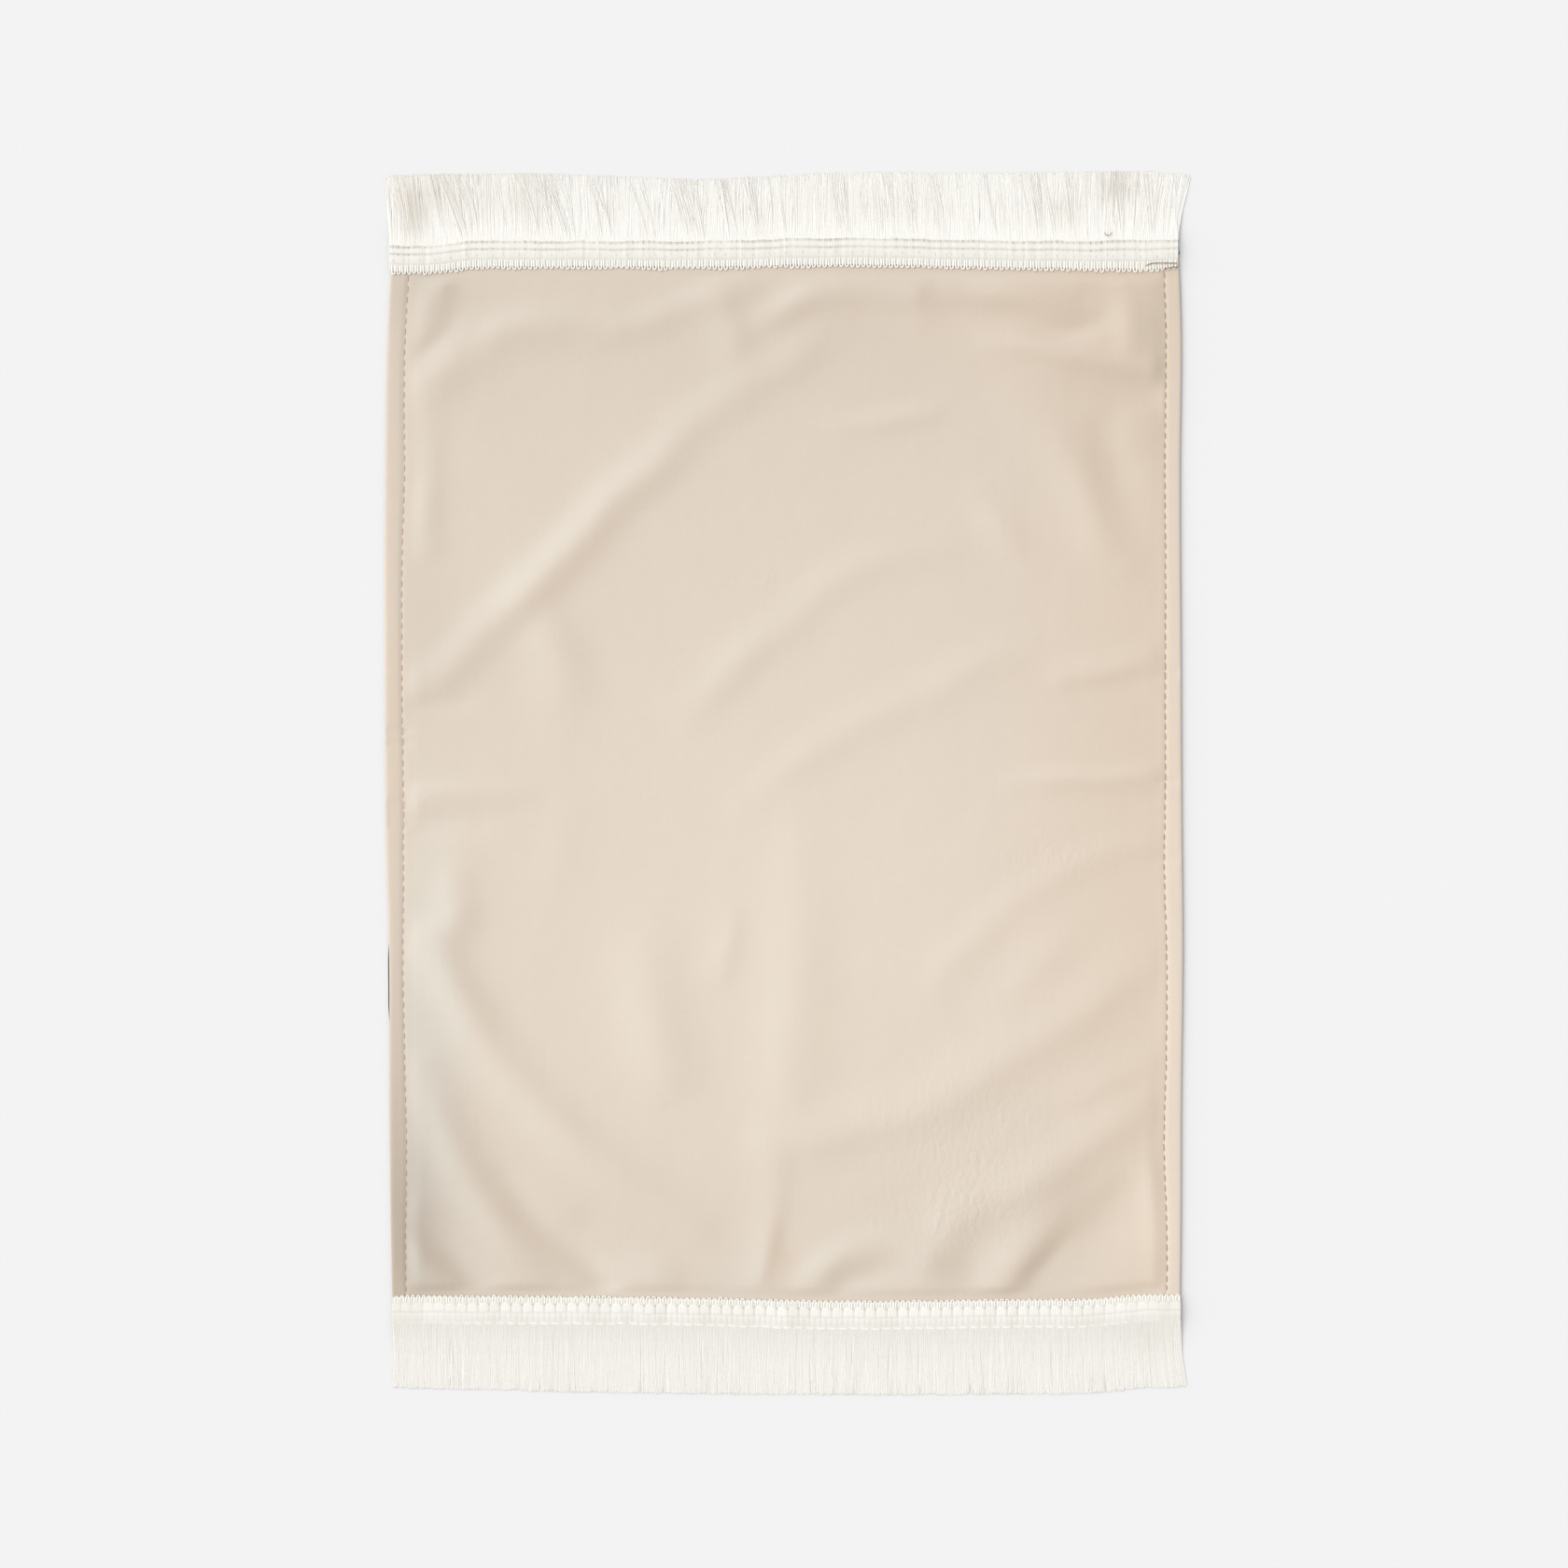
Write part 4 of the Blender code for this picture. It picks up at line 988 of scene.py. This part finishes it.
flat_count = line_at(LOOPS_ABOVE, "x", "count", flat_x)[:, None]


def flat_wander(seed, length, amount):
    """Unevenness along the flat heading, as a column."""
    return wander(flat_x, seed, length, amount)[:, None]


# two ticks for each loop, one darker than the other, with a faint ripple of the tape
beat_wave, ripple = np.cos(TURN * flat_count), np.cos(2 * TURN * flat_count)
flat_height = line_at(FLAT_FACE, "share", "height", flat_share) - 0.03 * ripple * ease(flat_share / 0.1)
flat_height = flat_height + flat_wander(4, 12.0, 0.06)
tick = 0.40 + 0.15 * beat_wave + 0.40 * np.maximum(ripple, 0)
in_row = sum(row.depth * bell(flat_share - row.share, row.width) for row in TICK_ROWS)
row_luck = 0.80 + flat_wander(6, 70.0, 0.25) + flat_wander(7, 6.0, 0.22)
spots = np.maximum(beat_wave, 0) ** 2 * np.clip(0.5 + flat_wander(9, 9.0, 0.7), 0, 1)
in_spots = bell(flat_share - SPOT_ROW - flat_wander(10, 11.0, 0.03), SPOT_WIDTH)
under_loops = ease((flat_share - THIN_FROM) / THIN_FADE)
flat_shade = in_row * tick * row_luck + SPOT_DEPTH * spots * in_spots + THIN_SHADE * under_loops
flat_tone = np.broadcast_to(FLAT_TONE + flat_wander(6, 9.0, 0.15), flat_height.shape)
flat_shade = np.clip(flat_shade, 0, 1)
heading_top = tape(
    "heading_top", TOP_STATIONS, 31, flat_x, flat_share, flat_height, shade=flat_shade, tone=flat_tone
)

# %% The ribbed heading
THREADS_PER_BLOCK = 5
PLAIN_START, PLAIN_FADE, PLAIN_SHARE = 25.0, 75.0, 0.35
RIBBED_STEP = 0.44
RIBBED_FACE = table_of(Across, (
    (0.00, 0.10), (0.03, 0.28), (0.07, 0.55), (0.14, 1.00), (0.21, 1.35), (0.38, 1.60), (0.41, 1.45),
    (0.44, 1.70), (0.60, 1.80), (0.70, 1.70), (0.92, 1.50),
))
LOW_FACE = 0.60
UNDER_RIBBED = 0.10
BEAD_SHARE = 0.045
LOWER_START, SEAM_SHARE, BLOCK_END = 0.13, 0.41, 0.685
ribbed_x = np.arange(BOTTOM_STATIONS[0].x, BOTTOM_STATIONS[-1].x, RIBBED_STEP)
ribbed_share = np.array((
    0, .015, .03, .045, .06, .075, .09, .105, .125, .15, .19, .24, .29, .34, .38, .41, .44,
    .48, .53, .58, .62, .645, .66, .675, .69, .705, .72, .735, .75, .78, .85, .92,
))
count = line_at(BLOCKS, "x", "count", ribbed_x)[:, None]
block_luck = np.random.default_rng(8).uniform(-1, 1, (100, 2))[np.floor(count[:, 0]).astype(int)]

# from 0 in the middle of a bead or a block to 1 at its ends, and the bead's below 0 on its left
bead_side = 2 * off_beat(count)
block_side = np.abs(2 * off_beat(count - 0.5))
to_end = np.minimum(ribbed_x - ribbed_x[0], ribbed_x[-1] - ribbed_x)
bold = (PLAIN_SHARE + (1 - PLAIN_SHARE) * ease((to_end - PLAIN_START) / PLAIN_FADE))[:, None]
in_lower = ease((ribbed_share - LOWER_START) / 0.04) * ease((SEAM_SHARE - ribbed_share) / 0.03)
in_upper = ease((ribbed_share - SEAM_SHARE) / 0.03)

# heights: the face, its beads, the slits between blocks, the threads and the drop to the thin part
bead = (1 - np.abs(bead_side) ** 3) * bell(ribbed_share - BEAD_SHARE + 0.015 * bead_side, 0.026)
slit = block_side ** 5 * (1 + 0.2 * block_luck[:, :1])
rib = np.cos(2 * TURN * count)
threads = np.cos(TURN * THREADS_PER_BLOCK * count)
full = line_at(RIBBED_FACE, "share", "height", ribbed_share)
full = full + bold * (0.40 * bead - 0.05 * rib * in_lower - (0.30 * slit - 0.05 * threads) * in_upper)
rounded = 0.055 * (1 - block_side ** 2) * bold
past_end = ease((ribbed_share - BLOCK_END + 0.03 - rounded) / 0.035)
ribbed_height = full + (LOW_FACE - full) * past_end

# shade: dark ribs below the seam, slits and threads above it, gaps by the beads and the blocks' ends
between_threads = np.maximum(-threads, 0)
rib_shade = 0.24 * np.maximum(rib, 0) ** 8 * in_lower
slit_shade = (0.26 * slit ** 2 + 0.08 * between_threads) * in_upper
edge_shade = (0.26 + 0.34 * between_threads) * bead_side ** 4 * bell(ribbed_share - 0.03, 0.03)
end_shade = 0.42 * block_side ** 4 * bell(ribbed_share - BLOCK_END, 0.025)
seam_shade = 0.10 * bell(ribbed_share - SEAM_SHARE, 0.018)
ribbed_shade = seam_shade + bold * (rib_shade + slit_shade + edge_shade + end_shade)
ribbed_shade = np.clip(ribbed_shade + UNDER_RIBBED * past_end, 0, 1)
# painted light: the beads and the block tops above the seam are made lighter in tone
painted_light_tops = 0.8 * bead + 0.3 * in_upper * (1 - slit)
ribbed_tone = 0.72 + 0.25 * block_luck[:, 1:] - painted_light_tops * bold
heading_bottom = tape(
    "heading_bottom", BOTTOM_STATIONS, 32, ribbed_x, ribbed_share, ribbed_height,
    shade=ribbed_shade, tone=ribbed_tone,
)
print("blocks on the ribbed heading:", int(np.ptp(count)))

# %% [markdown]
# ## The loops
# A cord runs to and fro along the inner edge of each heading and leaves a row of small U-shaped
# loops on the cloth, about 4.5 mm apart. It is one continuous path. Across the tape it follows a
# cosine, and along it an even run with two small sines: one of twice the beat makes the legs of a
# loop parallel, and one of the beat itself sets them wider apart than those of two neighbours.

# %% Make the loops
Loops = namedtuple("Loops", "name stations beats near far bulge spread radius tone seed")
LOOP_ROWS = table_of(Loops, (
    ("loops_top", TOP_STATIONS, LOOPS_ABOVE, 0.65, 0.985, 0.085, 0.060, 0.78, 0.15, 41),
    ("loops_bottom", BOTTOM_STATIONS, LOOPS_BELOW, 0.70, 0.955, 0.075, 0.055, 0.70, 0.45, 42),
))
POINTS_PER_LOOP = 16
LOOP_FLATNESS = 0.42
LOOP_UNDER = HEADING_UNDER + 0.25
MID_RISE, ROOT_DIVE, TIP_DROP = 0.4, 0.5, 0.4
ROOT_SHADE, ROOT_REACH = 0.08, 0.35


def loop_path(row):
    """One cord. Share across = near + (far - near) times out, where out = half of 1 - cos t. X = even
    beats + pitch times (bulge sin 2t - spread sin t). Up: a low arch that dives in under the tape at
    the loop's root and drops to the cloth at its tip."""
    ends = np.array([row.stations[0].x, row.stations[-1].x])
    first, last = np.round(line_at(row.beats, "x", "count", ends))
    count = np.linspace(first + 0.5, last - 0.5, int(last - first - 1) * POINTS_PER_LOOP + 1)
    t = TURN * (count - 0.5)
    pitch = (ends[1] - ends[0]) / (last - first)
    uneven = wander(t, row.seed, 14.0, 0.05) + wander(t, row.seed + 1, 60.0, 0.04)
    sway = row.bulge * np.sin(2 * t) - row.spread * np.sin(t) + uneven * 0.5
    x = line_at(row.beats, "count", "x", count) + pitch * sway
    out = 0.5 - 0.5 * np.cos(t)
    y = across_tape(row.stations, x, row.near + (row.far - row.near) * out * (1 + uneven), row.seed)
    z = LOOP_UNDER + LOOP_FLATNESS * row.radius + MID_RISE * out * (1 - out)
    z = z - ROOT_DIVE * (1 - out) ** 6 - TIP_DROP * out ** 4
    return np.column_stack((x, y, z))[None], out


loop_pieces = []
for row in LOOP_ROWS:
    path, out = loop_path(row)
    rings = round_rings(path, row.radius, 6, LOOP_FLATNESS)
    tones = row.tone + wander(np.arange(len(out)), row.seed + 2, 20.0, 0.15)
    shades = ROOT_SHADE * ease((ROOT_REACH - out) / ROOT_REACH)
    cord = swept(row.name, rings, LOOP_YARN, tone=tones[None, :, None], shade=shades[None, :, None])
    loop_pieces.append(cord)
    print(row.name, "has", (len(out) - 1) // POINTS_PER_LOOP, "loops")

# %% [markdown]
# ## The fringe
# The fringe is thousands of fine silky strands. They start inside the heading, fall to the floor in
# the first 30 mm and lie in two layers. Neighbours gather a little into locks towards their tips,
# and the comb of the whole fringe leans as the stations say. Some strands of the top end's upper
# layer have strayed and lie across their neighbours. A strand is a flat three-sided ribbon of five
# steps, which is enough for something a millimetre wide, and each layer is one mesh.

# %% Strand layers
# a strand's own level lies from low to high; dark and stray are shares of the strands, the dark ones
# carrying a painted shadow, and root is the painted shade by the heading
Layer = namedtuple("Layer", "name stations count low high radius tone dark root stray seed")
LAYERS = table_of(Layer, (
    ("fringe_top_under", TOP_STATIONS, 3200, 0.30, 0.60, 0.68, 0.25, 0.0, 0.0, 0.0, 51),
    ("fringe_top_over", TOP_STATIONS, 4400, 0.60, 1.10, 0.44, 0.14, 0.24, 0.0, 0.55, 52),
    ("fringe_bottom_under", BOTTOM_STATIONS, 3200, 0.30, 0.60, 0.68, 0.62, 0.0, 0.09, 0.0, 53),
    ("fringe_bottom_over", BOTTOM_STATIONS, 4400, 0.60, 0.80, 0.48, 0.54, 0.03, 0.09, 0.0, 54),
))
STRAND_SHARES = np.array((0, 0.12, 0.25, 0.48, 0.74, 1.0))
FLATNESS = 0.2
END_GAP = 0.6
ROOT_INSET = 1.6
LOCK_PITCH, LOCK_PULL = 3.6, 0.15
SWAY = 1.2
STRAY_LOCKS, STRAY_LEAN, STRAY_START = 0.9, -13.0, 30.0
CALM_FROM, CALM_FADE = -150.0, 200.0
FALL_LENGTH = 30.0
ROOT_Z = HEADING_UNDER + 0.40
LOWEST = 0.15
# greyer patches where the fringe lies thin, painted as shade
THIN_PATCHES = table_of(Patch, (
    (-309, 484, 5, 12, 0.5), (-301, 468, 6, 14, 1.3), (-283, 486, 9, 12, 0.8), (-216, 484, 6, 14, 0.45),
    (-250, 480, 14, 14, 0.35), (-200, 482, 8, 18, 0.30), (274, 489, 14, 10, 0.75),
    (228, 471, 10, 8, 0.40), (60, 478, 60, 12, 0.15), (298, -455, 14, 10, 0.25),
))


def strand_paths(layer, rng):
    """Out: an even run to the tip. Sideways: lean times t to the power 1.4, pulled to the lock's middle
    by t squared, with a slight curl. Up: from the heading down to the strand's own level by a parabola.
    t is the share of the strand's length."""
    t = STRAND_SHARES[None, :]
    outward = np.sign(layer.stations[0].outer)
    first, last = layer.stations[0].x + END_GAP, layer.stations[-1].x - END_GAP
    start = np.linspace(first, last, layer.count) + rng.uniform(-0.4, 0.4, layer.count)
    start = np.clip(start, first, last)[:, None]
    each = start.shape

    # locks: neighbours share their luck
    lock = np.floor((start + wander(start, layer.seed, 9.0, 2.0)) / LOCK_PITCH).astype(int)
    lock -= lock.min()
    lock_luck = rng.normal(0, 1, (lock.max() + 1, 5))[lock[:, 0]]
    lean_luck, length_luck, level_luck, sway_luck, stray_luck = np.split(lock_luck, 5, axis=1)
    members = np.maximum(np.bincount(lock[:, 0]), 1)
    lock_middle = (np.bincount(lock[:, 0], start[:, 0]) / members)[lock]

    # sideways: the strays lean across, but half as far on the calmer right
    lean = line_at(layer.stations, "x", "lean", start) + lean_luck + rng.normal(0, 1.0, each)
    is_stray = (rng.random(each) < layer.stray) & (stray_luck > STRAY_LOCKS)
    stray = STRAY_LEAN + 3.0 * sway_luck + rng.normal(0, 1.5, each)
    stray = is_stray * stray * ease((start - first) / STRAY_START)
    lean = lean + stray * (1 - 0.5 * ease((start - CALM_FROM) / CALM_FADE))
    curl = rng.normal(0, 0.6, each) * np.sin(np.pi * t * rng.uniform(0.8, 2.2, each))
    curl = curl + SWAY * sway_luck * np.sin(np.pi * t * (1.2 + 0.3 * length_luck))
    x = start + lean * t ** 1.4 + LOCK_PULL * (lock_middle - start) * t ** 2 + curl * t

    # out and up
    root = line_at(layer.stations, "x", "outer", start) - outward * ROOT_INSET
    short = np.abs(rng.normal(0, 1.2, each)) + np.abs(length_luck) * 0.7
    tip = line_at(layer.stations, "x", "tip", start) - outward * (short - 1.2)
    y = root + (tip - root) * t
    level = rng.uniform(layer.low, layer.high, each) + 0.03 * np.abs(stray) + 0.14 * level_luck * t
    level = np.maximum(level, LOWEST)
    fall = 1 - (1 - np.clip(np.abs(y - root) / FALL_LENGTH, 0, 1)) ** 2
    z = ROOT_Z + rng.uniform(-0.1, 0.15, each)
    z = z + (level * (1 - 0.5 * t) - z) * fall
    paths = np.stack(np.broadcast_arrays(x, y, np.maximum(z, LOWEST)), axis=-1)
    return paths, t, is_stray[..., None]


# %% Make the fringe
fringe_pieces = []
for layer in LAYERS:
    rng = np.random.default_rng(layer.seed)
    paths, t, is_stray = strand_paths(layer, rng)
    one_each = (layer.count, 1, 1)
    along = t[..., None]
    tones = np.clip(layer.tone + rng.uniform(-0.2, 0.35, one_each), 0, 1)
    thin = patches(THIN_PATCHES, paths.reshape(-1, 3)).reshape(*paths.shape[:2], 1)
    luck = rng.uniform(0.3, 1.0, one_each)
    # painted shadow between the locks: a few strands have a dark place somewhere along them, and many
    # strays are dark but for the root
    has_painted_shadow = rng.random(one_each) < layer.dark
    dark = has_painted_shadow * bell(along - rng.uniform(0.1, 1.1, one_each), 0.14)
    dark = dark + 0.5 * is_stray * (rng.random(one_each) < 0.4) * ease(along / 0.3)
    shade = np.clip(thin * luck + 0.65 * luck * dark + layer.root * bell(along, 0.3), 0, 1)
    rings = round_rings(paths, layer.radius * (1 - 0.35 * t ** 4), 3, FLATNESS)
    fringe_pieces.append(swept(layer.name, rings, FRINGE_YARN, False, tone=tones, shade=shade))

# %% [markdown]
# ## Loose ends
# At its top right corner the heading's cut end is turned under and held by a brown thread, and one
# short brown hair of thread lies on the fringe beside it. Each is a path through a few points.

# %% Make the loose ends
LooseEnd = namedtuple("LooseEnd", "name radius tone points")
LOOSE_ENDS = table_of(LooseEnd, (
    ("end_thread_long", 0.42, 0.9, (
        (296, 423.5, 4.4), (299, 425, 4.9), (305, 425.6, 5.1), (321, 425.5, 4.9),
    )),
    ("end_thread_short", 0.34, 0.9, ((310, 420.3, 4.3), (315, 421.8, 4.6), (322, 422.3, 4.5))),
    ("stray_thread", 0.30, 0.6, (
        (262, 450.5, 4.1), (264, 448.2, 4.3), (266.5, 448.8, 4.2), (268, 451, 3.9),
    )),
))


def through(points, steps=24):
    """A smooth path through a few points, one curve for each of X, Y and Z."""
    order = np.arange(len(points))
    at = np.linspace(0, order[-1], steps)
    return np.column_stack([smooth_curve(order, axis, at) for axis in zip(*points)])[None]


loose_pieces = [
    swept(end.name, round_rings(through(end.points), end.radius, 6), STITCH_THREAD, tone=end.tone, shade=0.0)
    for end in LOOSE_ENDS
]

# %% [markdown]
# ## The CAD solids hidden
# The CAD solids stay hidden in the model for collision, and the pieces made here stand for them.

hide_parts("cloth")
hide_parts("under_cloth")
trim_top = (heading_top, loop_pieces[0], *fringe_pieces[:2])
trim_bottom = (heading_bottom, loop_pieces[1], *fringe_pieces[2:])
for node, pieces in (("trim_top", trim_top), ("trim_bottom", trim_bottom)):
    for piece in pieces:
        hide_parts(node)
